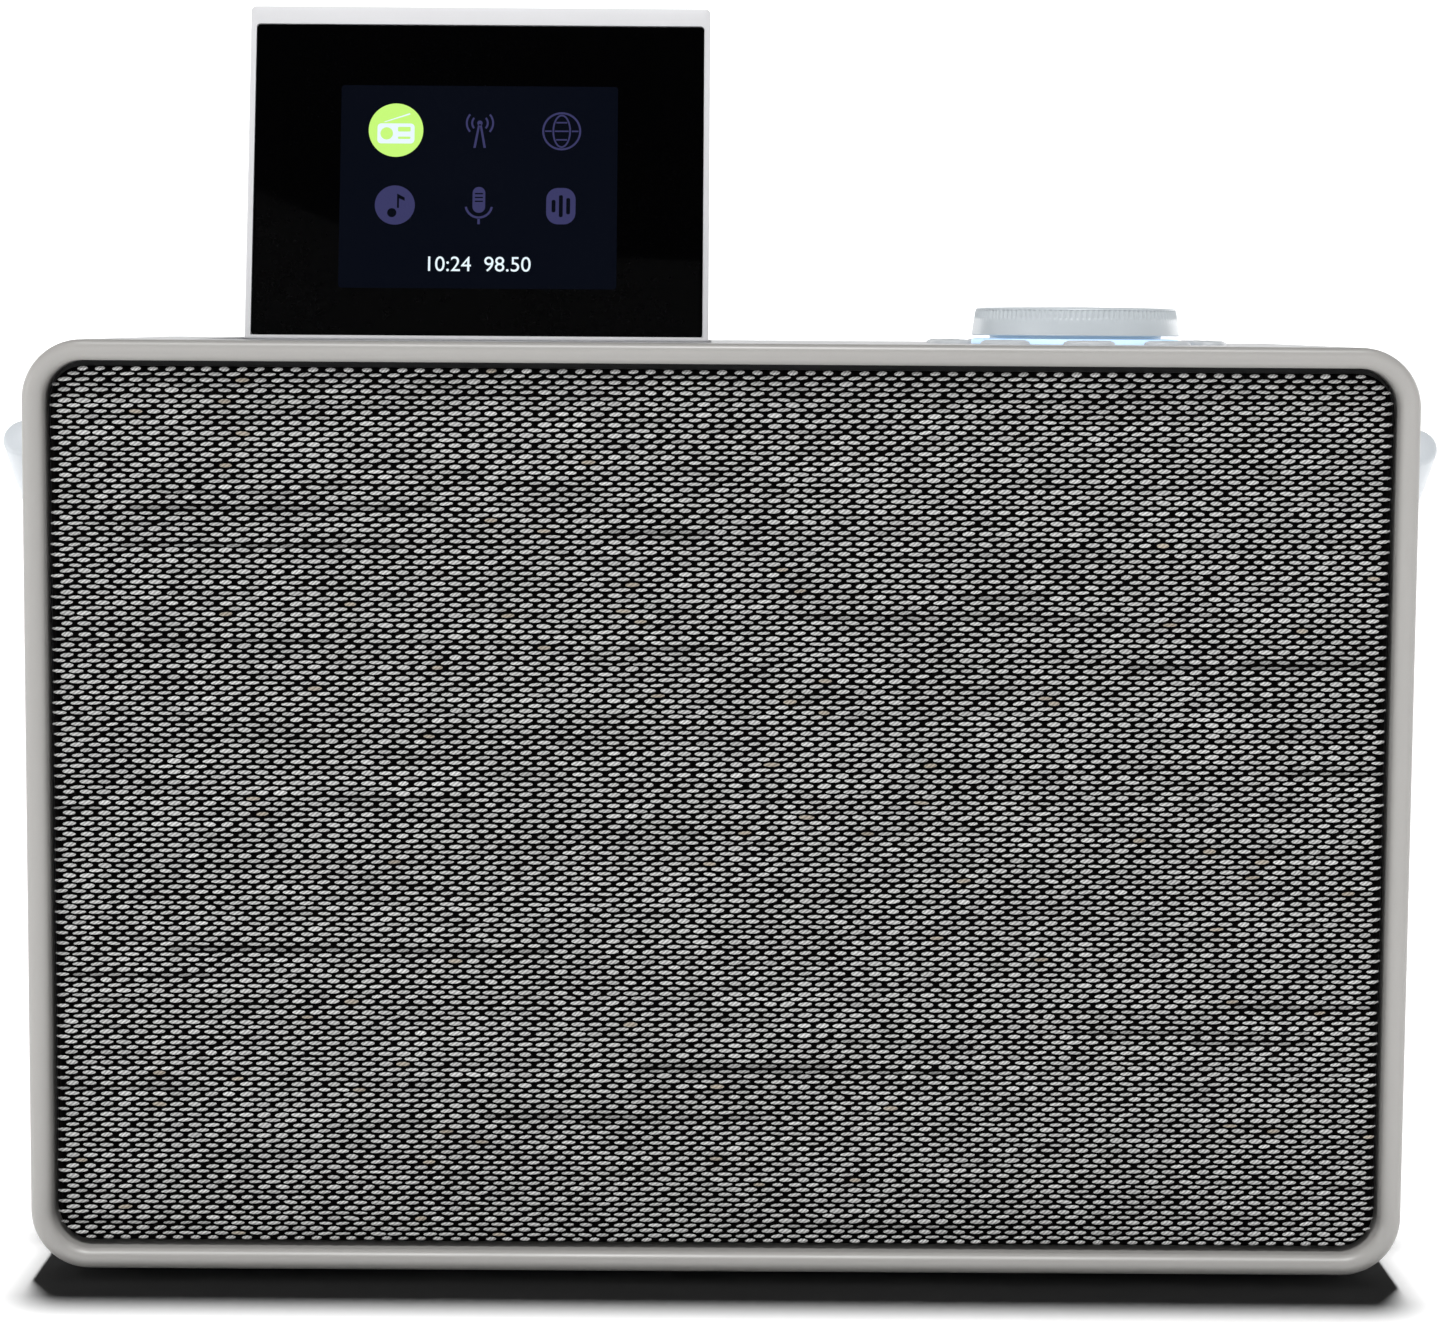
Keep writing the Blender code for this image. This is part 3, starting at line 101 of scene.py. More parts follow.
# Cloth sheet: it falls back near its edge, over a width of CLOTH_ROLL, by a share of that width
CLOTH_CORNER = 6.1 * MM
CLOTH_ROLL = 1.3 * MM
ROLL_SHARE = 0.55
ROLL_STEEPNESS = 0.98
SHEET_EDGE_INSETS = (0.0, 0.1, 0.3, 0.6, 0.9)
SHEET_SETBACK = 0.42 * MM
SHEET_THICKNESS = 0.40 * MM

# Yarn floats: sizes, the spread of each, and their colour
YARN_PERIOD = 3.18 * MM
YARN_PITCH = 0.958 * MM
YARN_LENGTH = 2.45 * MM
YARN_WIDTHS = (0.69 * MM, 0.53 * MM)
YARN_HEIGHT = 0.42 * MM
YARN_SINK = 0.04 * MM
YARN_TIP = 0.05 * MM
YARN_SKEW = 0.05 * MM
YARN_BLUNTNESS = 2.4
YARN_TAPER = 0.7
YARN_CROWN_TAPER = 0.8
YARN_COLUMNS = 5
YARN_ROWS = 4
YARN_SEED = 11
YARN_PIECES = 4
YARN_GREY = (0.50, 0.50, 0.495)
YARN_TONE_LIMITS = (0.3, 1.35)
ROW_SHIFT = 0.03 * MM
FLOAT_SHIFT = 0.06 * MM
SLUB_COUNT = 24
SLUB_TONE = 0.07
SLUB_WIDTH = 0.4
TONE_SPREAD = 0.08
WIDTH_SPREAD = 0.08
LENGTH_SPREAD = 0.07
TILT_SPREAD = 0.035
STREAK_COUNT = 26
STREAK_START = 20 * MM
STREAK_LENGTHS = (15 * MM, 70 * MM)
STREAK_TONE = 0.62
STREAK_WIDTH = 0.84
FLECK_SHARE = 0.007
FLECK_TINT = (0.80, 0.71, 0.60)
YARN_OVERHANG = 0.9 * MM
YARN_EDGE_ROOM = 0.15 * MM
TWIST_TURNS = 9.0
TWIST_SLANT = -3.4
TWIST_SHARE = 0.28
WAVE_RADIANS = 20

# Display housing and its picture
LEAN_CORNER_FRONT = 0.9 * MM
LEAN_CORNER_BACK = 4.2 * MM
LEAN_CORNER_GROWTH = 1.6
HOUSING_BACK_ROUND = 1.8 * MM
BACK_CORNER_CUT = 0.4
HOUSING_SPLIT = 0.3 * MM
HOUSING_CORNER_STEPS = 8
HOUSING_CHIN_SHARE = 0.6
GLASS_EDGE = 0.25 * MM
GLASS_CORNER = 0.8 * MM
GLASS_GAP = 0.1 * MM
GLASS_SEAT = 0.3 * MM
BARREL_INSET = 0.3 * MM
BARREL_EDGE = 0.4 * MM
BARREL_SIDES = 40
PICTURE_SIZE = Vector((56.8, 42.4)) * MM
PICTURE_CORNER = 0.6 * MM
PICTURE_PROUD = 0.03 * MM
ICON_PROUD = 0.05 * MM
ICON_COLUMNS = (-17.1 * MM, 0.1 * MM, 16.9 * MM)
ICON_ROWS = (11.8 * MM, -3.9 * MM)
CHOSEN_RADIUS = 5.6 * MM
CLOCK_TEXT = "10:24  98.50"
CLOCK_HEIGHT = 4.4 * MM
CLOCK_BASELINE = -17.6 * MM

# Dial
KNURL_COUNT = 116
KNURL_SAMPLES = 6
KNURL_DEPTH = 0.22 * MM
KNURL_SHARPNESS = 0.7
KNURL_SHARE = 0.44
KNURL_RINGS = 6
KNOB_TAPER = 0.75 * MM
KNOB_CROWN = 0.22 * MM
KNOB_CROWN_STEPS = 10
KNOB_EDGE = 0.55 * MM
KNOB_SKIRT_SHARES = (0.62, 0.85, 0.97)
KNOB_FOOT_EDGE = 0.2 * MM
DIMPLE_RADIUS = 3.0 * MM
DIMPLE_DEPTH = 0.45 * MM
DIMPLE_PLACE = 12.5 * MM
RING_WIDTH = 3.2 * MM
RING_EDGE = 0.4 * MM
RING_SIDES = 128
HUB_GAP = 0.3 * MM
HUB_DROP = 1.0 * MM
SHAFT_BORE = 3.2 * MM
SHAFT_DEPTH = 3.0 * MM

# Handle
ROD_RADIUS = 4.0 * MM
ROD_SIDES = 40
HANDLE_SLOPE = math.radians(33)
HANDLE_NOSE = 9.5 * MM
HANDLE_BEND = 16 * MM
HANDLE_BEND_STEPS = 16
HANDLE_END_ROUND = 0.9 * MM
HANDLE_END_STEPS = 5
ARM_POINTS = 14

# Symbols printed on the buttons
SYMBOL_HEIGHT = 2.6 * MM
SYMBOL_SINK = 0.05 * MM
SYMBOL_PROUD = 0.02 * MM
FIGURE_DROP = 0.36

# Camera and light
PICTURE_WIDTH_PX = 1439
FOCAL_LENGTH_PX = 3549.6
SENSOR = 36.0
CAMERA_AHEAD = 0.634
CAMERA_SIDE = -0.0022
CAMERA_HEIGHT = 0.1754
CAMERA_PITCH = math.radians(5.54)
CAMERA_YAW = math.radians(-0.19)
CAMERA_ROLL = math.radians(0.391)
CAMERA_NEAR = 0.01
STAGE_RADIUS = 3.0
STAGE_WALL = 1.3
STAGE_THICKNESS = 0.02
STAGE_SIDES = 96
WORLD_LIGHT = 0.12
WALL_LIGHT = 0.42
OVERHEAD_LIGHT = 0.62
FLOOR_LIGHT = 24
FLOOR_BRIGHTNESS = 0.06
WALL_BRIGHTNESS = 0.86
OVERHEAD_SPREAD = math.radians(18)
OVERHEAD_TILT = math.radians(-22)
FLOOR_SPREAD = math.radians(6.4)
FLOOR_TILT = math.radians(6.6)
SOFTBOX_DISTANCE = 1.7
SOFTBOX_SIZE = (1.0, 0.7)
# Softboxes: name, azimuth in degrees from the front towards the set's right, height and watts
SOFTBOXES = (
    ("softbox_left", -58, 0.45, 5),
    ("softbox_right", 52, 0.45, 0.3),
    ("softbox_back_left", -138, 0.50, 3),
    ("softbox_back_right", 138, 0.50, 3),
)


# Materials

def node_material(name):
    material = bpy.data.materials.new(name)
    material.use_nodes = True
    tree = material.node_tree
    return material, tree, tree.nodes["Principled BSDF"]


def add(tree, kind, inputs=(), **settings):
    """A node with some settings, its inputs given as (socket, value or output) pairs."""
    node = tree.nodes.new(kind)
    for name, value in settings.items():
        setattr(node, name, value)
    for socket, value in inputs:
        if isinstance(value, bpy.types.NodeSocket):
            tree.links.new(value, node.inputs[socket])
        else:
            node.inputs[socket].default_value = value
    return node


def noise(tree, place, size, detail=2.0, stretch=None):
    """Noise whose features are about as large as size, finer along some axes if stretched."""
    if stretch:
        place = add(tree, "ShaderNodeMapping", [("Vector", place), ("Scale", stretch)]).outputs[0]
    inputs = [("Vector", place), ("Scale", 1 / size), ("Detail", detail)]
    return add(tree, "ShaderNodeTexNoise", inputs).outputs["Fac"]


def calculate(tree, operation, *values):
    return add(tree, "ShaderNodeMath", enumerate(values), operation=operation).outputs[0]


def spread(tree, value, low, high, start=0.3, end=0.7):
    """Maps a range of noise, mostly its middle part, to the range from low to high."""
    inputs = [("Value", value), ("From Min", start), ("From Max", end), ("To Min", low), ("To Max", high)]
    return add(tree, "ShaderNodeMapRange", inputs).outputs[0]


def shade(colour, factor):
    return (*(min(channel * factor, 1.0) for channel in colour), 1.0)


def surface(name, colour, roughness, grain, relief, mottle=0.03, stretch=None, **fixed):
    """A hard material with a fine grain, a slow drift of colour and an uneven sheen.

    grain is the size of its finest marks and relief their depth; fixed sets other sockets of the shader.
    """
    material, tree, shader = node_material(name)
    place = add(tree, "ShaderNodeTexCoord").outputs["Object"]
    drift = noise(tree, place, 0.035, 3.0)
    marks = noise(tree, place, grain, 3.0, stretch)
    both = calculate(tree, "ADD", drift, marks)
    half = calculate(tree, "MULTIPLY", both, 0.5)
    factor = spread(tree, half, 0.0, 1.0)
    ends = [(0, factor), (6, shade(colour, 1 - mottle)), (7, shade(colour, 1 + mottle))]
    mixed = add(tree, "ShaderNodeMix", ends, data_type="RGBA")
    tree.links.new(mixed.outputs[2], shader.inputs["Base Color"])
    rough = spread(tree, drift, max(roughness - 0.05, 0.02), roughness + 0.05)
    tree.links.new(rough, shader.inputs["Roughness"])
    bump = add(tree, "ShaderNodeBump", [("Height", marks), ("Distance", relief), ("Strength", 1.0)])
    tree.links.new(bump.outputs[0], shader.inputs["Normal"])
    for socket, value in fixed.items():
        shader.inputs[socket.replace("_", " ")].default_value = value
    return material


def glowing(name, colour, roughness, light, strength, grain=0.4 * MM):
    """A surface that also gives a little light of its own."""
    material = surface(name, colour, roughness, grain, 0.002 * MM, 0.05)
    shader = material.node_tree.nodes["Principled BSDF"]
    shader.inputs["Emission Color"].default_value = (*light, 1)
    shader.inputs["Emission Strength"].default_value = strength
    shader.inputs["Specular IOR Level"].default_value = 0.02
    return material


def yarn_material():
    """Spun yarn: each float's own colour, with twisted fibres running across it at a slant, painted lighter
    on the twist's ridges and darker between them (painted highlight and painted shade).
    """
    material, tree, shader = node_material("yarn")
    colour = add(tree, "ShaderNodeAttribute", attribute_name="yarn_colour").outputs["Color"]
    place = add(tree, "ShaderNodeAttribute", attribute_name="yarn_place").outputs["Vector"]
    parts = add(tree, "ShaderNodeSeparateXYZ", [(0, place)])
    along = calculate(tree, "MULTIPLY", parts.outputs[0], TWIST_TURNS)
    across = calculate(tree, "MULTIPLY", parts.outputs[1], TWIST_SLANT)
    slant = calculate(tree, "ADD", along, across)
    phase = calculate(tree, "ADD", slant, parts.outputs[2])
    twist = calculate(tree, "SINE", phase)
    objects = add(tree, "ShaderNodeTexCoord").outputs["Object"]
    fibres = noise(tree, objects, 0.09 * MM)
    height = calculate(tree, "ADD", calculate(tree, "MULTIPLY", twist, TWIST_SHARE), fibres)
    # Painted highlight on the twist's ridges and painted shade between them, mixed with the fibres' random
    # tone; the same heights drive the bump
    tone = spread(tree, height, 0.40, 1.22, 0.15, 0.85)
    painted_twist_light_colour = add(tree, "ShaderNodeVectorMath", [(0, colour), ("Scale", tone)], operation="SCALE").outputs[0]
    tree.links.new(painted_twist_light_colour, shader.inputs["Base Color"])
    tree.links.new(spread(tree, fibres, 0.78, 0.95, 0.0, 1.0), shader.inputs["Roughness"])
    bump = add(tree, "ShaderNodeBump", [("Height", height), ("Distance", 0.05 * MM), ("Strength", 0.8)])
    tree.links.new(bump.outputs[0], shader.inputs["Normal"])
    shader.inputs["Sheen Weight"].default_value = 0.12
    shader.inputs["Specular IOR Level"].default_value = 0.25
    return material


def warp_material():
    """The dark upright threads seen between the floats."""
    material, tree, shader = node_material("warp_threads")
    place = add(tree, "ShaderNodeTexCoord").outputs["Object"]
    scale = math.tau / WAVE_RADIANS / YARN_PERIOD * 2
    waves = [("Vector", place), ("Scale", scale), ("Distortion", 0.4)]
    threads = add(tree, "ShaderNodeTexWave", waves, bands_direction="X").outputs["Fac"]
    fibres = noise(tree, place, 0.12 * MM)
    both = calculate(tree, "MULTIPLY", threads, fibres)
    ramp = add(tree, "ShaderNodeValToRGB", [("Fac", both)])
    ramp.color_ramp.elements[0].color = (0.001, 0.001, 0.001, 1)
    ramp.color_ramp.elements[1].color = (0.008, 0.007, 0.007, 1)
    tree.links.new(ramp.outputs[0], shader.inputs["Base Color"])
    bump = add(tree, "ShaderNodeBump", [("Height", both), ("Distance", 0.15 * MM)])
    tree.links.new(bump.outputs[0], shader.inputs["Normal"])
    shader.inputs["Roughness"].default_value = 0.95
    shader.inputs["Specular IOR Level"].default_value = 0.0
    return material


RIM = surface("rim_paint", (0.345, 0.336, 0.323), 0.36, 0.25 * MM, 0.004 * MM, 0.02)
SHELL = surface("shell_plastic", (0.640, 0.638, 0.650), 0.42, 0.30 * MM, 0.008 * MM, 0.02)
HOUSING = surface("housing_plastic", (0.640, 0.640, 0.655), 0.38, 0.25 * MM, 0.005 * MM, 0.02)
BUTTON = surface("button_plastic", (0.600, 0.625, 0.650), 0.40, 0.22 * MM, 0.005 * MM, 0.02)
KNOB = surface("knob_plastic", (0.560, 0.605, 0.635), 0.34, 0.20 * MM, 0.004 * MM, 0.025)
HANDLE = surface("handle_metal", (0.560, 0.592, 0.622), 0.34, 0.18 * MM, 0.004 * MM, 0.03, Coat_Weight=0.15)
BLACK = surface("black_plastic", (0.018, 0.018, 0.020), 0.48, 0.30 * MM, 0.010 * MM, 0.15)
GLASS = surface("black_glass", (0.0005, 0.0005, 0.0006), 0.06, 2.0 * MM, 0.0001 * MM, 0.10,
                Specular_IOR_Level=0.02)
CHROME = surface("aerial_metal", (0.78, 0.78, 0.79), 0.17, 0.05 * MM, 0.001 * MM, 0.03, (0.02, 1, 1),
                 Metallic=1.0)
STEEL = surface("pressed_steel", (0.50, 0.50, 0.51), 0.34, 0.15 * MM, 0.003 * MM, 0.08, Metallic=1.0)
MAGNET = surface("magnet", (0.055, 0.055, 0.060), 0.55, 0.35 * MM, 0.012 * MM, 0.15)
PAPER = surface("cone_paper", (0.030, 0.029, 0.029), 0.85, 0.5 * MM, 0.03 * MM, 0.20)
BOARD = surface("circuit_board", (0.015, 0.110, 0.045), 0.40, 0.6 * MM, 0.010 * MM, 0.20)
WRAP = surface("battery_wrap", (0.045, 0.110, 0.260), 0.35, 1.2 * MM, 0.02 * MM, 0.12)
RIBBON = surface("ribbon", (0.38, 0.20, 0.055), 0.35, 0.4 * MM, 0.01 * MM, 0.15, (1, 0.1, 0.1))
RUBBER = surface("rubber", (0.022, 0.022, 0.022), 0.85, 0.35 * MM, 0.02 * MM, 0.15)
SYMBOL = surface("printed_symbols", (0.085, 0.095, 0.105), 0.5, 0.15 * MM, 0.001 * MM, 0.08)
RING = glowing("light_ring", (0.58, 0.68, 0.76), 0.35, (0.42, 0.68, 1.0), 0.60)
PICTURE = glowing("picture_field", (0.0006, 0.0008, 0.0014), 0.25, (0.0018, 0.0026, 0.0060), 1.0,
                  0.3 * MM)
PICTURE_DIM = glowing("picture_dim", (0.004, 0.004, 0.010), 0.3, (0.040, 0.040, 0.118), 1.0, 0.3 * MM)
PICTURE_GREEN = glowing("picture_green", (0.02, 0.04, 0.01), 0.3, (0.56, 0.92, 0.19), 1.0, 0.3 * MM)
PICTURE_WHITE = glowing("picture_white", (0.03, 0.03, 0.03), 0.3, (0.80, 0.92, 1.0), 1.0, 0.3 * MM)
YARN = yarn_material()
WARP = warp_material()


# Meshes and pieces

def quarter_turn(steps):
    """Angles up to a quarter turn, without the first, which is zero."""
    return [math.pi / 2 * step / steps for step in range(1, steps + 1)]


def rounded_rectangle(width, height, radius, centre=(0, 0), steps=CORNER_STEPS):
    """Points round a rectangle with quarter-circle corners, anticlockwise."""
    points = []
    for corner, (side, end) in enumerate(((1, 1), (-1, 1), (-1, -1), (1, -1))):
        x = centre[0] + side * (width / 2 - radius)
        y = centre[1] + end * (height / 2 - radius)
        for step in range(steps + 1):
            angle = math.pi / 2 * (corner + step / steps)
            points.append((x + radius * math.cos(angle), y + radius * math.sin(angle)))
    return points


def circle(radius, centre=(0, 0), steps=40):
    turns = (math.tau * step / steps for step in range(steps))
    return [(centre[0] + radius * math.cos(a), centre[1] + radius * math.sin(a)) for a in turns]


def rounded_edge(edge, front):
    """How far in and how deep the points of a small rounded edge lie, ending on the front."""
    return [(0, front + edge), (edge * EDGE_CUT, front + edge * EDGE_CUT), (edge, front)]


def show(name, mesh, material, body, slot, *nodes, smooth=True):
    """A piece that rides on a body, takes the given material and stands for some CAD nodes, which it hides;
    slot is not used.
    """
    mesh.materials.clear()
    mesh.materials.append(material)
    if smooth:
        mesh.shade_smooth()
        mesh.set_sharp_from_angle(angle=SMOOTH_ANGLE)
    obj = bpy.data.objects.new(name, mesh)
    bpy.context.scene.collection.objects.link(obj)
    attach(obj, body)
    if nodes:
        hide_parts(*nodes)
    return obj


def tidy_mesh(shape, name, matrix=None):
    """A mesh from a bmesh, its faces turned outwards."""
    if matrix:
        bmesh.ops.transform(shape, matrix=matrix, verts=shape.verts)
    bmesh.ops.recalc_face_normals(shape, faces=shape.faces)
    mesh = bpy.data.meshes.new(name)
    shape.to_mesh(mesh)
    shape.free()
    return mesh


def loft(name, loops, close=False, caps=True, matrix=None):
    """Loops of equally many points joined one to the next, with flat ends or closed into a ring."""
    shape = bmesh.new()
    rows = [[shape.verts.new(point) for point in loop] for loop in loops]
    pairs = list(zip(rows, rows[1:] + (rows[:1] if close else [])))
    for low, high in pairs:
        count = len(low)
        for i in range(count):
            j = (i + 1) % count
            shape.faces.new((low[i], low[j], high[j], high[i]))
    if caps and not close:
        shape.faces.new(rows[0])
        shape.faces.new(rows[-1])
    return tidy_mesh(shape, name, matrix)


def revolve(name, profile, centre, steps, ripple=None):
    """A profile of (radius, height) points turned about an upright axis, its ends on the axis or closed.

    ripple gives how far a point's radius falls, from its number in the profile and its step round the axis.
    """
    shape = bmesh.new()
    rows = []
    for index, (radius, height) in enumerate(profile):
        if radius == 0:
            rows.append([shape.verts.new((centre[0], centre[1], height))])
            continue
        row = []
        for step in range(steps):
            angle = math.tau * step / steps
            r = radius - (ripple(index, step) if ripple else 0)
            x, y = centre[0] + r * math.cos(angle), centre[1] + r * math.sin(angle)
            row.append(shape.verts.new((x, y, height)))
        rows.append(row)
    if profile[0][0] > 0:
        rows.append(rows[0])
    for low, high in zip(rows, rows[1:]):
        for i in range(steps):
            j = (i + 1) % steps
            ring = [low[i % len(low)], low[j % len(low)], high[j % len(high)], high[i % len(high)]]
            shape.faces.new(list(dict.fromkeys(ring)))
    return tidy_mesh(shape, name)


def refined(node, material, bevel=0.15 * MM):
    """A CAD node's shape with clean faces, rounded edges and smooth shading, in place of the node."""
    source = frame["nodes"][node]
    shape = bmesh.new()
    shape.from_mesh(source.data)
    bmesh.ops.remove_doubles(shape, verts=shape.verts, dist=WELD)
    bmesh.ops.dissolve_limit(shape, angle_limit=FLAT_ANGLE, verts=shape.verts, edges=shape.edges)
    mesh = tidy_mesh(shape, node)
    obj = show(f"{node}_fine", mesh, material, source["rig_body"], SLOTS[node], node)
    if bevel:
        rounded = obj.modifiers.new("edges", "BEVEL")
        rounded.width = bevel
        rounded.segments = 2
        rounded.limit_method = "ANGLE"
        rounded.angle_limit = SMOOTH_ANGLE
        rounded.harden_normals = True
    return obj


def filled(name, outlines, thickness, matrix):
    """Flat outlines, those inside others being holes, as a thin plate whose front is at Z = thickness."""
    curve = bpy.data.curves.new(name, "CURVE")
    curve.dimensions = "2D"
    curve.fill_mode = "BOTH"
    curve.extrude = thickness / 2
    for points in outlines:
        spline = curve.splines.new("POLY")
        spline.points.add(len(points) - 1)
        for place, (x, y) in zip(spline.points, points):
            place.co = (x, y, 0, 1)
        spline.use_cyclic_u = True
    return from_curve(name, curve, matrix @ Matrix.Translation((0, 0, thickness / 2)))


def from_curve(name, curve, matrix):
    helper = bpy.data.objects.new(name, curve)
    bpy.context.scene.collection.objects.link(helper)
    graph = bpy.context.evaluated_depsgraph_get()
    mesh = bpy.data.meshes.new_from_object(helper.evaluated_get(graph))
    bpy.data.objects.remove(helper)
    shape = bmesh.new()
    shape.from_mesh(mesh)
    bmesh.ops.remove_doubles(shape, verts=shape.verts, dist=WELD)
    return tidy_mesh(shape, name, matrix)


def lettering(name, text, height, thickness, matrix):
    """Figures in a plain typeface, centred on the matrix's place, standing on its X axis."""
    curve = bpy.data.curves.new(name, "FONT")
    curve.body = text
    curve.size = height
    curve.align_x = "CENTER"
    curve.extrude = thickness / 2
    return from_curve(name, curve, matrix @ Matrix.Translation((0, 0, thickness / 2)))


def middle(node):
    low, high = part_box(node)
    return (low + high) / 2


# Front rim: a rounded bar whose outer side is a quarter circle and whose inner side falls back to the cloth

def make_rim():
    low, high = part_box("front_frame")
    size = high - low
    centre = ((low.x + high.x) / 2, (low.z + high.z) / 2)
    depth = size.y
    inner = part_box("grille_cloth")[0].x - low.x - RIM_CLOTH_GAP
    profile = [(0.0, depth), (0.0, RIM_CREST)]
    for angle in quarter_turn(RIM_CREST_STEPS):
        profile.append((RIM_CREST * (1 - math.cos(angle)), RIM_CREST * (1 - math.sin(angle))))
    for angle in quarter_turn(RIM_FALL_STEPS):
        profile.append((RIM_CREST + (inner - RIM_CREST) * math.sin(angle), RIM_FALL * (1 - math.cos(angle))))
    profile.append((inner, depth))
    loops = []
    for inset, back in profile:
        outline = rounded_rectangle(size.x - 2 * inset, size.z - 2 * inset, CORNER_RADIUS - inset, centre)
        loops.append([(x, low.y + back, z) for x, z in outline])
    show("rim", loft("rim", loops, close=True), RIM, "enclosure", "rim_plastic", "front_frame")


# Cloth

def cloth_limits():
    low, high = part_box("grille_cloth")
    return low, high, np.array([(low.x + high.x) / 2, (low.z + high.z) / 2]), (high - low) / 2


def edge_distance(x, z):
    """How far inside the cloth's rounded outline a point lies."""
    _, _, centre, half = cloth_limits()
    qx = np.abs(x - centre[0]) - (half.x - CLOTH_CORNER)
    qz = np.abs(z - centre[1]) - (half.z - CLOTH_CORNER)
    outside = np.hypot(np.maximum(qx, 0), np.maximum(qz, 0)) + np.minimum(np.maximum(qx, qz), 0)
    return CLOTH_CORNER - outside


def roll_back(distance):
    """How far the cloth falls back near its edge, where it turns round the grille frame."""
    short = np.clip(1 - distance / CLOTH_ROLL, 0, 1)
    return ROLL_SHARE * CLOTH_ROLL * (1 - np.sqrt(1 - ROLL_STEEPNESS * short ** 2))


def make_sheet():
    low, _, centre, half = cloth_limits()
    front = low.y + SHEET_SETBACK
    insets = [inset * MM for inset in SHEET_EDGE_INSETS] + [CLOTH_ROLL, 2 * CLOTH_ROLL]
    loops = []
    sides = [(inset, SHEET_THICKNESS) for inset in reversed(insets)] + [(inset, 0.0) for inset in insets]
    for inset, back in sides:
        outline = rounded_rectangle(2 * (half.x - inset), 2 * (half.z - inset), CLOTH_CORNER - inset, centre)
        y = front + back + float(roll_back(np.float64(inset)))
        loops.append([(x, y, z) for x, z in outline])
    mesh = loft("grille_cloth_sheet", loops)
    return show("grille_cloth_sheet", mesh, WARP, "enclosure", "cloth", "grille_cloth")


def yarn_layout(rng):
    """Each float's place, its length, width, tilt and twist, and its colour, row by row."""
    low, high, centre, _ = cloth_limits()
    rows = round((high.z - low.z) / YARN_PITCH)
    pitch = (high.z - low.z) / rows
    columns = int((high.x - low.x) / YARN_PERIOD) + 2
    first_row = low.z + pitch / 2
    first_column = centre[0] - (columns - 1) / 2 * YARN_PERIOD
    streaks = {}
    for _ in range(STREAK_COUNT):
        start = rng.uniform(low.x - STREAK_START, high.x)
        chosen = int(rng.integers(rows))
        streaks.setdefault(chosen, []).append((start, start + rng.uniform(*STREAK_LENGTHS)))
    slubs = np.linspace(low.x, high.x, SLUB_COUNT)
    places, factors, colours = [], [], []
    for row in range(rows):
        z = first_row + row * pitch + rng.normal(0, ROW_SHIFT)
        x = first_column + (np.arange(columns) + 0.5 * (row % 2)) * YARN_PERIOD
        x = x + rng.normal(0, FLOAT_SHIFT, columns)
        slow = np.interp(x, slubs, rng.normal(0, SLUB_TONE, slubs.size))
        tone = (1 + slow) * (1 + rng.normal(0, TONE_SPREAD, columns))
        wide = YARN_WIDTHS[row % 2] * (1 + slow * SLUB_WIDTH + rng.normal(0, WIDTH_SPREAD, columns))
        for start, end in streaks.get(row, []):
            inside = (x > start) & (x < end)
            tone[inside] *= STREAK_TONE
            wide[inside] *= STREAK_WIDTH
        room = edge_distance(x, np.full(columns, z))
        length = YARN_LENGTH * (1 + rng.normal(0, LENGTH_SPREAD, columns))
        length = np.minimum(length, 2 * np.maximum(room, 0.0) + YARN_OVERHANG)
        tilt = rng.normal(0, TILT_SPREAD, columns)
        brown = rng.random(columns) < FLECK_SHARE
        grey = np.clip(tone, *YARN_TONE_LIMITS)[:, None] * np.array(YARN_GREY)
        grey[brown] *= np.array(FLECK_TINT)
        keep = room > YARN_EDGE_ROOM
        places.append(np.stack([x, np.full(columns, z)], 1)[keep])
        factors.append(np.stack([length, wide, tilt, rng.uniform(0, math.tau, columns)], 1)[keep])
        colours.append(grey[keep])
    return np.concatenate(places), np.concatenate(factors), np.concatenate(colours)


def yarn_template():
    """One float's grid, its place along and across from -1 to 1, its faces and its outline round."""
    u = np.sin(np.pi / 2 * np.linspace(-1, 1, YARN_COLUMNS + 1))
    v = np.sin(np.pi / 2 * np.linspace(-1, 1, YARN_ROWS + 1))
    grid = np.array([(a, b) for b in v for a in u])
    across = YARN_COLUMNS + 1
    quads = []
    for j in range(YARN_ROWS):
        for i in range(YARN_COLUMNS):
            corner = j * across + i
            quads.append((corner, corner + 1, corner + across + 1, corner + across))
    top = YARN_ROWS * across
    rim = list(range(across)) + [j * across + across - 1 for j in range(1, YARN_ROWS + 1)]
    rim += [top + i for i in range(across - 2, -1, -1)] + [j * across for j in range(YARN_ROWS - 1, 0, -1)]
    return grid, quads, rim[::-1]


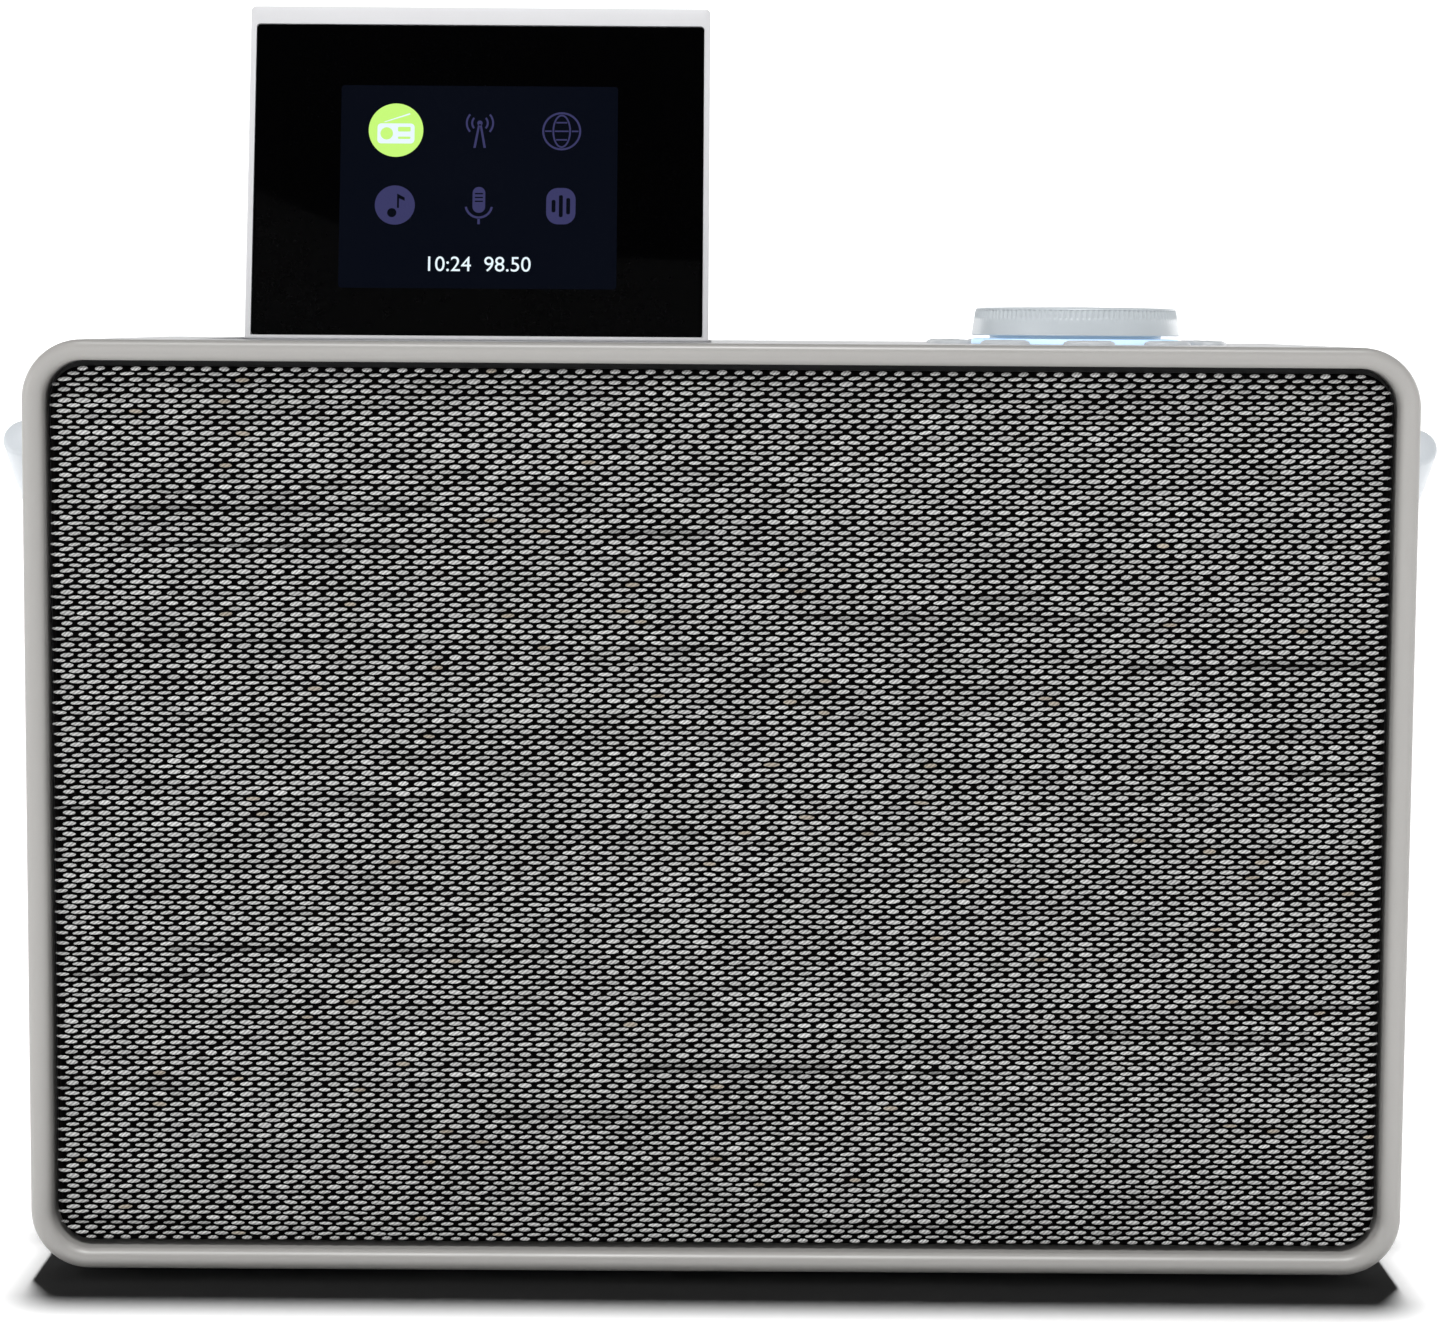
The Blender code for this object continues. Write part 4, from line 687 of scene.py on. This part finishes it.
def yarn_mesh(name, places, factors, colours):
    """Many floats as one mesh, each a closed dome whose underside lies in the sheet."""
    grid, quads, rim = yarn_template()
    u, v = grid[:, 0], grid[:, 1]
    length, wide, tilt, seed = factors.T[:, :, None]
    taper = (1 - np.abs(u) ** YARN_BLUNTNESS).clip(0) ** YARN_TAPER
    x = places[:, :1] + u * length / 2
    z = places[:, 1:] + v * (taper * wide / 2 + YARN_TIP) + tilt * u * length / 2 + YARN_SKEW * u
    crown = YARN_HEIGHT * np.sqrt((1 - v ** 2).clip(0)) * taper ** YARN_CROWN_TAPER
    front = cloth_limits()[0].y + SHEET_SETBACK
    y = front + YARN_SINK - crown + roll_back(edge_distance(x, z))
    points = np.stack([x, y, z], 2).reshape(-1, 3)

    count, size = len(places), len(grid)
    faces = [*quads, rim]
    corners = np.concatenate([np.array(face) for face in faces])
    totals = np.array([len(face) for face in faces])
    starts = np.concatenate([[0], np.cumsum(totals)[:-1]])
    offsets = np.arange(count)[:, None]
    mesh = bpy.data.meshes.new(name)
    mesh.vertices.add(count * size)
    mesh.vertices.foreach_set("co", points.astype(np.float32).ravel())
    mesh.loops.add(count * len(corners))
    mesh.loops.foreach_set("vertex_index", (corners + offsets * size).astype(np.int32).ravel())
    mesh.polygons.add(count * len(faces))
    mesh.polygons.foreach_set("loop_start", (starts + offsets * len(corners)).astype(np.int32).ravel())
    mesh.update(calc_edges=True)
    mesh.validate()

    colour = mesh.attributes.new("yarn_colour", "FLOAT_COLOR", "POINT")
    tinted = np.concatenate([np.repeat(colours, size, 0), np.ones((count * size, 1))], 1)
    colour.data.foreach_set("color", tinted.astype(np.float32).ravel())
    place = mesh.attributes.new("yarn_place", "FLOAT_VECTOR", "POINT")
    local = np.stack([np.tile(u, (count, 1)), np.tile(v, (count, 1)), np.repeat(seed, size, 1)], 2)
    place.data.foreach_set("vector", local.astype(np.float32).ravel())
    return mesh


def make_cloth():
    sheet = make_sheet()
    places, factors, colours = yarn_layout(np.random.default_rng(YARN_SEED))
    for index, chosen in enumerate(np.array_split(np.arange(len(places)), YARN_PIECES), 1):
        name = f"grille_yarn_{index}"
        mesh = yarn_mesh(name, places[chosen], factors[chosen], colours[chosen])
        show(name, mesh, YARN, "enclosure", "cloth")


# Display

def display_frame():
    """Turns a shape drawn about the hinge, upright with its front at -Y, into the leaning display's place."""
    glass = frame["nodes"]["display_glass"].data
    face = max(glass.polygons, key=lambda polygon: polygon.area)
    lean = math.atan2(abs(face.normal.z), abs(face.normal.y))
    low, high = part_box("display_bezel")
    hinge = middle("display_pin_left")
    place = Matrix.Translation(((low.x + high.x) / 2, hinge.y, hinge.z))
    return place @ Matrix.Rotation(-lean, 4, "X")


def display_loop(half_width, low, high, radius, y, steps=HOUSING_CORNER_STEPS):
    """The housing's outline at one depth: square at its lower end, with rounded upper corners."""
    points = [(-half_width, y, low), (half_width, y, low)]
    for corner, side in ((0, 1), (1, -1)):
        for step in range(steps + 1):
            angle = math.pi / 2 * (corner + step / steps)
            x = side * (half_width - radius) + radius * math.cos(angle)
            points.append((x, y, high - radius + radius * math.sin(angle)))
    return points


def radio_outlines():
    """A small portable radio: a body with a round speaker and a dial window, and a slanted aerial."""
    body = rounded_rectangle(7.6 * MM, 4.2 * MM, 0.8 * MM, (0, -0.7 * MM), 5)
    window = rounded_rectangle(2.6 * MM, 1.0 * MM, 0.2 * MM, (1.7 * MM, 0.2 * MM), 3)
    slot = rounded_rectangle(2.6 * MM, 0.5 * MM, 0.2 * MM, (1.7 * MM, -1.6 * MM), 3)
    aerial = [(x * MM, y * MM) for x, y in ((-2.6, 1.7), (-2.1, 1.7), (2.9, 3.3), (2.8, 3.6))]
    return [body, circle(1.3 * MM, (-1.9 * MM, -0.7 * MM), 24), window, slot, aerial]


def arc_band(radius, width, start, end, centre=(0, 0), steps=14):
    """Part of a ring between two angles, in degrees."""
    angles = [math.radians(start + (end - start) * i / steps) for i in range(steps + 1)]
    rim = [(radius + width / 2, a) for a in angles] + [(radius - width / 2, a) for a in reversed(angles)]
    return [(centre[0] + r * math.cos(a), centre[1] + r * math.sin(a)) for r, a in rim]


def mast_outlines():
    """A mast with waves going out from its tip."""
    tip = (0, 1.6 * MM)
    corners = ((-1.3, -3.6), (-0.8, -3.6), (0, 1.0), (0.8, -3.6), (1.3, -3.6), (0.2, 1.4), (-0.2, 1.4))
    mast = [(x * MM, y * MM) for x, y in corners]
    waves = [arc_band(r * MM, 0.4 * MM, a - 42, a + 42, tip) for r in (1.6, 2.7) for a in (0, 180)]
    return [mast, circle(0.55 * MM, tip, 16), *waves]


def globe_outlines():
    """A globe: a ring with a meridian, an equator and two parallels."""
    ring = [circle(4.0 * MM), circle(3.6 * MM)]
    meridian = [[(x * math.cos(a), y * math.sin(a)) for a in np.linspace(0, math.tau, 32, False)]
                for x, y in ((1.9 * MM, 3.5 * MM), (1.55 * MM, 3.15 * MM))]
    bars = [rounded_rectangle(w * MM, 0.3 * MM, 0.1 * MM, (x * MM, y * MM), 2)
            for w, x, y in ((2.9, 0, 0), (2.3, 0, 1.8), (2.3, 0, -1.8), (1.4, 2.75, 0), (1.4, -2.75, 0))]
    return ring + meridian + bars


def note_outlines():
    """A disc with a music note cut out of it."""
    head = circle(0.95 * MM, (-0.6 * MM, -1.6 * MM), 20)
    corners = ((0.45, -0.6), (0.85, -0.6), (0.85, 1.4), (2.0, 0.9), (2.0, 1.6), (0.45, 2.4))
    stem = [(x * MM, y * MM) for x, y in corners]
    return [circle(4.1 * MM), head, stem]


def microphone_outlines():
    """A round-ended microphone in its fork, on a stem."""
    slits = [rounded_rectangle(1.7 * MM, 0.28 * MM, 0.1 * MM, (0, y * MM), 2) for y in (0.9, 1.7, 2.5)]
    fork = arc_band(2.7 * MM, 0.45 * MM, 190, 350, (0, 0.2 * MM))
    stem = rounded_rectangle(0.5 * MM, 1.3 * MM, 0.1 * MM, (0, -3.25 * MM), 2)
    return [rounded_rectangle(2.6 * MM, 5.4 * MM, 1.25 * MM, (0, 1.2 * MM), 6), *slits, fork, stem]


def levels_outlines():
    """An upright rounded plate with three level bars cut out of it."""
    levels = ((-1.5, 2.6), (0, 4.6), (1.5, 3.4))
    bars = [rounded_rectangle(0.8 * MM, height * MM, 0.3 * MM, (x * MM, 0), 3) for x, height in levels]
    return [rounded_rectangle(6.0 * MM, 7.6 * MM, 2.4 * MM, (0, 0), 8), *bars]


def shifted(outlines, place):
    return [[(x + place[0], y + place[1]) for x, y in points] for points in outlines]


def make_picture(matrix, face_y):
    """The lit picture: a dark field, a chosen round button, five dim ones and a clock in figures."""
    upward = matrix.to_3x3().col[2]
    along = (middle("lcd_panel") - matrix.translation).dot(upward)
    flat = matrix @ Matrix.Translation((0, face_y, along)) @ Matrix.Rotation(math.pi / 2, 4, "X")

    def on_glass(name, outlines, proud, material):
        base = flat @ Matrix.Translation((0, 0, -PICTURE_PROUD))
        mesh = filled(name, outlines, proud + PICTURE_PROUD, base)
        return show(name, mesh, material, "display", "screen", smooth=False)

    field = rounded_rectangle(*PICTURE_SIZE, PICTURE_CORNER, steps=4)
    on_glass("picture_field", [field], PICTURE_PROUD, PICTURE)
    spots = [(x, y) for y in ICON_ROWS for x in ICON_COLUMNS]
    disc, radio = shifted([circle(CHOSEN_RADIUS, steps=64)], spots[0]), shifted(radio_outlines(), spots[0])
    on_glass("icon_chosen_disc", disc, ICON_PROUD, PICTURE_GREEN)
    on_glass("icon_chosen_radio", radio, ICON_PROUD + PICTURE_PROUD, PICTURE_WHITE)
    shapes = (mast_outlines(), globe_outlines(), note_outlines(), microphone_outlines(), levels_outlines())
    names = ("icon_mast", "icon_globe", "icon_note", "icon_microphone", "icon_levels")
    for name, outlines, spot in zip(names, shapes, spots[1:]):
        on_glass(name, shifted(outlines, spot), ICON_PROUD, PICTURE_DIM)
    place = flat @ Matrix.Translation((0, CLOCK_BASELINE, -PICTURE_PROUD))
    figures = lettering("clock_figures", CLOCK_TEXT, CLOCK_HEIGHT, ICON_PROUD + PICTURE_PROUD, place)
    show("clock_figures", figures, PICTURE_WHITE, "display", "screen", smooth=False)


def make_display():
    matrix = display_frame()
    low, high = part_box("display_bezel")
    inward = matrix.inverted()
    glass, bezel, shell = ([inward @ vertex.co for vertex in frame["nodes"][node].data.vertices]
                           for node in ("display_glass", "display_bezel", "display_shell"))
    half_width = (high.x - low.x) / 2
    top = max(p.z for p in bezel)
    front, split = min(p.y for p in bezel), max(p.y for p in bezel)
    glass_low, glass_high = min(p.z for p in glass), max(p.z for p in glass)
    glass_half = max(p.x for p in glass)
    glass_front, glass_back = min(p.y for p in glass), max(p.y for p in glass)
    back = max(p.y for p in shell)

    def radius_at(y):
        share = (y - front) / (back - front)
        growth = min(1.0, LEAN_CORNER_GROWTH * share)
        return LEAN_CORNER_FRONT + (LEAN_CORNER_BACK - LEAN_CORNER_FRONT) * growth

    # The front half: a tray round the glass
    bottom = glass_low - (half_width - glass_half) * HOUSING_CHIN_SHARE
    loops = [display_loop(half_width - inset, bottom + inset, top - inset, radius_at(y), y)
             for inset, y in [(0, split), *rounded_edge(GLASS_EDGE, front)]]
    for y in (front, glass_back + GLASS_SEAT):
        loops.append(display_loop(glass_half + GLASS_GAP, glass_low - GLASS_GAP, glass_high + GLASS_GAP,
                                  GLASS_CORNER, y))
    housing = loft("display_housing_front", loops, matrix=matrix)
    show("display_housing_front", housing, HOUSING, "display", "shell_plastic", "display_bezel")

    # The glass, its edge rounded over
    centre = (0, (glass_high + glass_low) / 2)
    loops = []
    for inset, y in [(0, glass_back), *rounded_edge(GLASS_EDGE, glass_front)]:
        width, height = 2 * (glass_half - inset), glass_high - glass_low - 2 * inset
        outline = rounded_rectangle(width, height, GLASS_CORNER, centre, HOUSING_CORNER_STEPS)
        loops.append([(x, y, z) for x, z in outline])
    window = loft("display_window", loops, matrix=matrix)
    show("display_window", window, GLASS, "display", "display_glass", "display_glass")
    make_picture(matrix, glass_front)

    # The back half, its rear edge rounded over
    rows = [(0, split + HOUSING_SPLIT), (0, back - HOUSING_BACK_ROUND)]
    for angle in quarter_turn(6):
        inset = HOUSING_BACK_ROUND * (1 - math.cos(angle))
        rows.append((inset, back - HOUSING_BACK_ROUND * (1 - math.sin(angle))))
    loops = [display_loop(half_width - inset, 0.0, top - inset, radius_at(y) - inset * BACK_CORNER_CUT, y)
             for inset, y in rows]
    shell_mesh = loft("display_housing_back", loops, matrix=matrix)
    show("display_housing_back", shell_mesh, HOUSING, "display", "shell_plastic", "display_shell")

    # The barrel that it turns on
    barrel = back - BARREL_INSET
    turns = np.linspace(0, math.tau, BARREL_SIDES, False)
    loops = []
    for x, radius in ((-half_width, barrel - BARREL_EDGE), (BARREL_EDGE - half_width, barrel),
                      (half_width - BARREL_EDGE, barrel), (half_width, barrel - BARREL_EDGE)):
        loops.append([(x, radius * math.cos(a), radius * math.sin(a)) for a in turns])
    show("display_barrel", loft("display_barrel", loops, matrix=matrix), HOUSING, "display", "shell_plastic")


# Dial and buttons

def ring_radii():
    low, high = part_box("light_ring")
    outer = (high.x - low.x) / 2
    return outer - RING_WIDTH, outer


def make_dial():
    low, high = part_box("dial_knob")
    centre = middle("dial_knob")
    ring_inner, _ = ring_radii()
    radius = (high.x - low.x) / 2
    top_radius = radius - KNOB_TAPER
    shoulder = high.z - KNOB_CROWN

    # From the crown's middle over the rounded edge, down the knurled and the plain side, to the hub
    profile = [(0, high.z)]
    for share in np.linspace(0, 1, KNOB_CROWN_STEPS + 1)[1:]:
        profile.append(((top_radius - KNOB_EDGE) * share, high.z - KNOB_CROWN * share ** 2))
    for angle in quarter_turn(4):
        z = shoulder - KNOB_EDGE * (1 - math.cos(angle))
        profile.append((top_radius - KNOB_EDGE * (1 - math.sin(angle)), z))
    side_start = len(profile)
    knurl_low = high.z - KNURL_SHARE * (high.z - low.z)
    for z in np.linspace(shoulder - KNOB_EDGE, knurl_low, KNURL_RINGS + 1)[1:]:
        profile.append((top_radius + KNOB_TAPER * (shoulder - z) / (shoulder - low.z), z))
    side_end = len(profile) - 1
    for share in KNOB_SKIRT_SHARES:
        profile.append((top_radius + KNOB_TAPER * share, shoulder - (shoulder - low.z) * share))
    hub = ring_inner - HUB_GAP
    bottom, bore_top = low.z - HUB_DROP, low.z + SHAFT_DEPTH
    profile += [(radius - KNOB_FOOT_EDGE, low.z), (hub, low.z), (hub, bottom), (SHAFT_BORE, bottom),
                (SHAFT_BORE, bore_top), (0, bore_top)]

    def groove(index, step):
        if not side_start - 1 <= index < side_end:
            return 0.0
        return KNURL_DEPTH * (0.5 - 0.5 * math.cos(math.tau * step / KNURL_SAMPLES)) ** KNURL_SHARPNESS

    mesh = revolve("dial_knob_knurled", profile, centre, KNURL_COUNT * KNURL_SAMPLES, groove)
    for vertex in mesh.vertices:
        away = math.hypot(vertex.co.x - centre.x, vertex.co.y - centre.y + DIMPLE_PLACE)
        if vertex.co.z > shoulder and away < DIMPLE_RADIUS:
            vertex.co.z -= DIMPLE_DEPTH * (0.5 + 0.5 * math.cos(math.pi * away / DIMPLE_RADIUS))
    show("dial_knob_knurled", mesh, KNOB, "dial", "knob_plastic", "dial_knob")


def make_light_ring():
    low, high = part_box("light_ring")
    inner, outer = ring_radii()
    profile = [(inner, low.z), (outer, low.z), (outer, high.z - RING_EDGE),
               (outer - RING_EDGE * EDGE_CUT, high.z - RING_EDGE * EDGE_CUT), (outer - RING_EDGE, high.z),
               (inner + RING_EDGE, high.z), (inner, high.z - RING_EDGE)]
    mesh = revolve("light_ring_lens", profile, middle("dial_knob"), RING_SIDES)
    show("light_ring_lens", mesh, RING, "enclosure", "light_ring", "light_ring")


def power_outlines(size):
    ring = arc_band(size * 0.42, size * 0.13, -230, 50)
    return [ring, rounded_rectangle(size * 0.13, size * 0.5, size * 0.06, (0, size * 0.3), 3)]


def play_outlines(size):
    bars = [rounded_rectangle(size * 0.14, size * 0.8, size * 0.05, (x * size, 0), 3) for x in (0.30, 0.55)]
    return [[(-size * 0.5, -size * 0.42), (size * 0.15, 0), (-size * 0.5, size * 0.42)], *bars]


def list_outlines(size):
    return [rounded_rectangle(size * 0.9, size * 0.13, size * 0.06, (0, y * size), 3) for y in (-0.3, 0, 0.3)]


def back_outlines(size):
    points = ((-0.5, 0), (0.1, -0.45), (0.1, -0.15), (0.5, -0.15), (0.5, 0.15), (0.1, 0.15), (0.1, 0.45))
    return [[(x * size, y * size) for x, y in points]]


def make_buttons():
    drawn = {1: play_outlines, 2: list_outlines, 10: back_outlines, 6: power_outlines}
    figures = {3: "1", 4: "2", 5: "3", 7: "4", 8: "5", 9: "6"}
    for index in range(1, 11):
        node = f"button_{index:02d}"
        refined(node, BUTTON, 0.08 * MM)
        place = middle(node)
        place.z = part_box(node)[1].z - SYMBOL_SINK
        matrix = Matrix.Translation(place)
        name = f"{node}_symbol"
        thickness = SYMBOL_SINK + SYMBOL_PROUD
        if index in drawn:
            mesh = filled(name, drawn[index](SYMBOL_HEIGHT), thickness, matrix)
        else:
            lower = matrix @ Matrix.Translation((0, -SYMBOL_HEIGHT * FIGURE_DROP, 0))
            mesh = lettering(name, figures[index], SYMBOL_HEIGHT, thickness, lower)
        show(name, mesh, SYMBOL, node, "button_plastic", smooth=False)


# Handle

def make_handle():
    """A rod bent round two corners, drawn flat with its pivot at the origin, then laid at its slope."""
    _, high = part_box("handle_bar")
    pivot = middle("handle_pin_left")
    arm = high.x - ROD_RADIUS
    reach = (high.y - ROD_RADIUS - pivot.y) / math.cos(HANDLE_SLOPE)
    bend = reach - HANDLE_BEND
    half = [(arm, y) for y in np.linspace(HANDLE_END_ROUND - HANDLE_NOSE, bend, ARM_POINTS)]
    for angle in quarter_turn(HANDLE_BEND_STEPS):
        half.append((arm - HANDLE_BEND * (1 - math.cos(angle)), bend + HANDLE_BEND * math.sin(angle)))
    route = half + [(-x, y) for x, y in reversed(half)]
    ends = []
    for angle in quarter_turn(HANDLE_END_STEPS)[:-1]:
        y = HANDLE_END_ROUND * (1 - math.sin(angle)) - HANDLE_NOSE
        ends.append((y, ROD_RADIUS - HANDLE_END_ROUND * (1 - math.cos(angle))))
    turns = np.linspace(0, math.tau, ROD_SIDES, False)

    def ring(centre, direction, radius):
        across = Vector((direction[1], -direction[0], 0)).normalized()
        place = Vector((*centre, 0))
        return [place + radius * (math.cos(a) * across + Vector((0, 0, math.sin(a)))) for a in turns]

    loops = [ring((arm, y), (0, 1), radius) for y, radius in reversed(ends)]
    for index, point in enumerate(route):
        before, after = route[max(index - 1, 0)], route[min(index + 1, len(route) - 1)]
        loops.append(ring(point, (after[0] - before[0], after[1] - before[1]), ROD_RADIUS))
    loops += [ring((-arm, y), (0, -1), radius) for y, radius in ends]
    matrix = Matrix.Translation((0, pivot.y, pivot.z)) @ Matrix.Rotation(-HANDLE_SLOPE, 4, "X")
    mesh = loft("handle_rod", loops, matrix=matrix)
    show("handle_rod", mesh, HANDLE, "handle", "handle_metal", "handle_bar")


# Everything whose CAD shape is kept, with finer edges outside and a plain change of material inside

OUTSIDE = {
    "case_shell": (SHELL, 0.12 * MM), "rear_cover": (SHELL, 0.12 * MM), "battery_door": (SHELL, 0.15 * MM),
    "aerial_swivel": (BLACK, 0.15 * MM), "aerial_pin": (STEEL, 0.1 * MM), "aerial_tube": (CHROME, 0.08 * MM),
    "aerial_middle": (CHROME, 0.05 * MM), "aerial_tip": (CHROME, 0.08 * MM), "dc_jack": (BLACK, 0.1 * MM),
    "aux_jack": (BLACK, 0.1 * MM), "usb_port": (STEEL, 0.05 * MM), "handle_pin_left": (STEEL, 0.15 * MM),
    "handle_pin_right": (STEEL, 0.15 * MM), "display_pin_left": (STEEL, 0.1 * MM),
    "display_pin_right": (STEEL, 0.1 * MM),
    **{f"foot_{i}": (RUBBER, 0.15 * MM) for i in range(1, 5)},
    **{f"rear_screw_{i}": (STEEL, 0.06 * MM) for i in range(1, 5)},
}
INSIDE = {
    "grille_frame": BLACK, "speaker_baffle": BLACK, "basket_left": STEEL, "basket_right": STEEL,
    "cone_left": PAPER, "cone_right": PAPER, "magnet_left": MAGNET, "magnet_right": MAGNET,
    "main_board": BOARD, "control_board": BOARD, "port_board": BOARD, "radio_module": STEEL,
    "encoder_body": STEEL, "switch_plunger": BLACK, "dial_shaft": STEEL, "battery_bay": BLACK,
    "battery_pack": WRAP, "display_ribbon": RIBBON, "lcd_panel": BLACK,
}


def make_rest():
    for node, (material, bevel) in OUTSIDE.items():
        refined(node, material, bevel)
    for node, material in INSIDE.items():
        for slot in frame["nodes"][node].material_slots:
            slot.material = material


# Stage, light and camera

def stage_material(name, brightness, light):
    material = surface(name, (brightness,) * 3, 0.9, 1.5 * MM, 0.01 * MM, 0.01)
    shader = material.node_tree.nodes["Principled BSDF"]
    shader.inputs["Specular IOR Level"].default_value = 0.0
    if light:
        shader.inputs["Emission Color"].default_value = (1, 1, 1, 1)
        shader.inputs["Emission Strength"].default_value = light
    return material


def make_stage():
    """A round floor inside a round white wall, which gives light but casts no shadow."""
    below, outside = -STAGE_THICKNESS, STAGE_RADIUS + STAGE_THICKNESS
    floor = [(0, 0), (STAGE_RADIUS / 2, 0), (STAGE_RADIUS, 0), (STAGE_RADIUS, below), (0, below)]
    wall = [(STAGE_RADIUS, 0), (STAGE_RADIUS, STAGE_WALL), (outside, STAGE_WALL), (outside, 0)]
    for name, profile, brightness, light in (("floor", floor, FLOOR_BRIGHTNESS, 0),
                                             ("backdrop", wall, WALL_BRIGHTNESS, WALL_LIGHT)):
        mesh = revolve(name, profile, (0, 0), STAGE_SIDES)
        mesh.materials.append(stage_material(f"{name}_paper", brightness, light))
        obj = bpy.data.objects.new(name, mesh)
        bpy.context.scene.collection.objects.link(obj)
        obj.visible_shadow = name == "floor"


def linked(name, obj, state):
    """A light-linking collection: one object alone if its state is INCLUDE, or all but it if EXCLUDE."""
    group = bpy.data.collections.new(name)
    group.objects.link(bpy.data.objects[obj])
    group.collection_objects[0].light_linking.link_state = state
    return group


def place_lamp(name, light, receivers, blockers=None):
    lamp = bpy.data.objects.new(name, light)
    lamp.light_linking.receiver_collection = receivers
    lamp.light_linking.blocker_collection = blockers
    bpy.context.scene.collection.objects.link(lamp)
    return lamp


def make_lights():
    """One sun lights the set, another only the floor, and softboxes fill in the set's sides."""
    world = bpy.data.worlds.new("studio")
    bpy.context.scene.world = world
    world.use_nodes = True
    background = world.node_tree.nodes["Background"]
    background.inputs["Color"].default_value = (0.96, 0.98, 1.0, 1)
    background.inputs["Strength"].default_value = WORLD_LIGHT

    floor_only = linked("floor_only", "floor", "INCLUDE")
    all_but_floor = linked("all_but_floor", "floor", "EXCLUDE")
    all_but_handle = linked("all_but_handle", "handle_rod", "EXCLUDE")
    for name, strength, spread_angle, tilt, receivers, blockers in (
        ("overhead", OVERHEAD_LIGHT, OVERHEAD_SPREAD, OVERHEAD_TILT, all_but_floor, None),
        ("overhead_floor", FLOOR_LIGHT, FLOOR_SPREAD, FLOOR_TILT, floor_only, all_but_handle),
    ):
        sun = bpy.data.lights.new(name, "SUN")
        sun.energy = strength * math.pi
        sun.angle = spread_angle
        place_lamp(name, sun, receivers, blockers).rotation_euler = (-tilt, 0, 0)

    target = (CAD_BOX[0] + CAD_BOX[1]) / 2
    for name, azimuth, height, power in SOFTBOXES:
        light = bpy.data.lights.new(name, "AREA")
        light.shape = "RECTANGLE"
        light.size, light.size_y = SOFTBOX_SIZE
        light.energy = power
        lamp = place_lamp(name, light, all_but_floor)
        angle = math.radians(azimuth)
        lamp.location = (SOFTBOX_DISTANCE * math.sin(angle), -SOFTBOX_DISTANCE * math.cos(angle), height)
        lamp.rotation_euler = (target - lamp.location).to_track_quat("-Z", "Y").to_euler()
        lamp.visible_camera = False


def make_camera():
    """Looks slightly down at the set from in front, turned by a pitch, a yaw and a small roll."""
    level = math.cos(CAMERA_PITCH)
    forward = Vector((-math.sin(CAMERA_YAW) * level, math.cos(CAMERA_YAW) * level, -math.sin(CAMERA_PITCH)))
    right = forward.cross(Vector((0, 0, 1))).normalized()
    up = right.cross(forward)
    rolled = math.cos(CAMERA_ROLL) * right + math.sin(CAMERA_ROLL) * up
    upright = -math.sin(CAMERA_ROLL) * right + math.cos(CAMERA_ROLL) * up
    turn = Matrix((rolled, upright, -forward)).transposed().to_4x4()
    data = bpy.data.cameras.new("camera")
    data.sensor_width = SENSOR
    data.lens = SENSOR * FOCAL_LENGTH_PX / PICTURE_WIDTH_PX
    data.clip_start = CAMERA_NEAR
    camera = bpy.data.objects.new("camera", data)
    place = (CAMERA_SIDE, CAD_BOX[0].y - CAMERA_AHEAD, CAMERA_HEIGHT)
    camera.matrix_world = Matrix.Translation(place) @ turn
    bpy.context.scene.collection.objects.link(camera)
    bpy.context.scene.camera = camera
    bpy.context.scene.view_settings.view_transform = "Standard"


make_camera()
make_stage()
make_rim()
make_cloth()
make_display()
make_dial()
make_light_ring()
make_buttons()
make_handle()
make_rest()
make_lights()
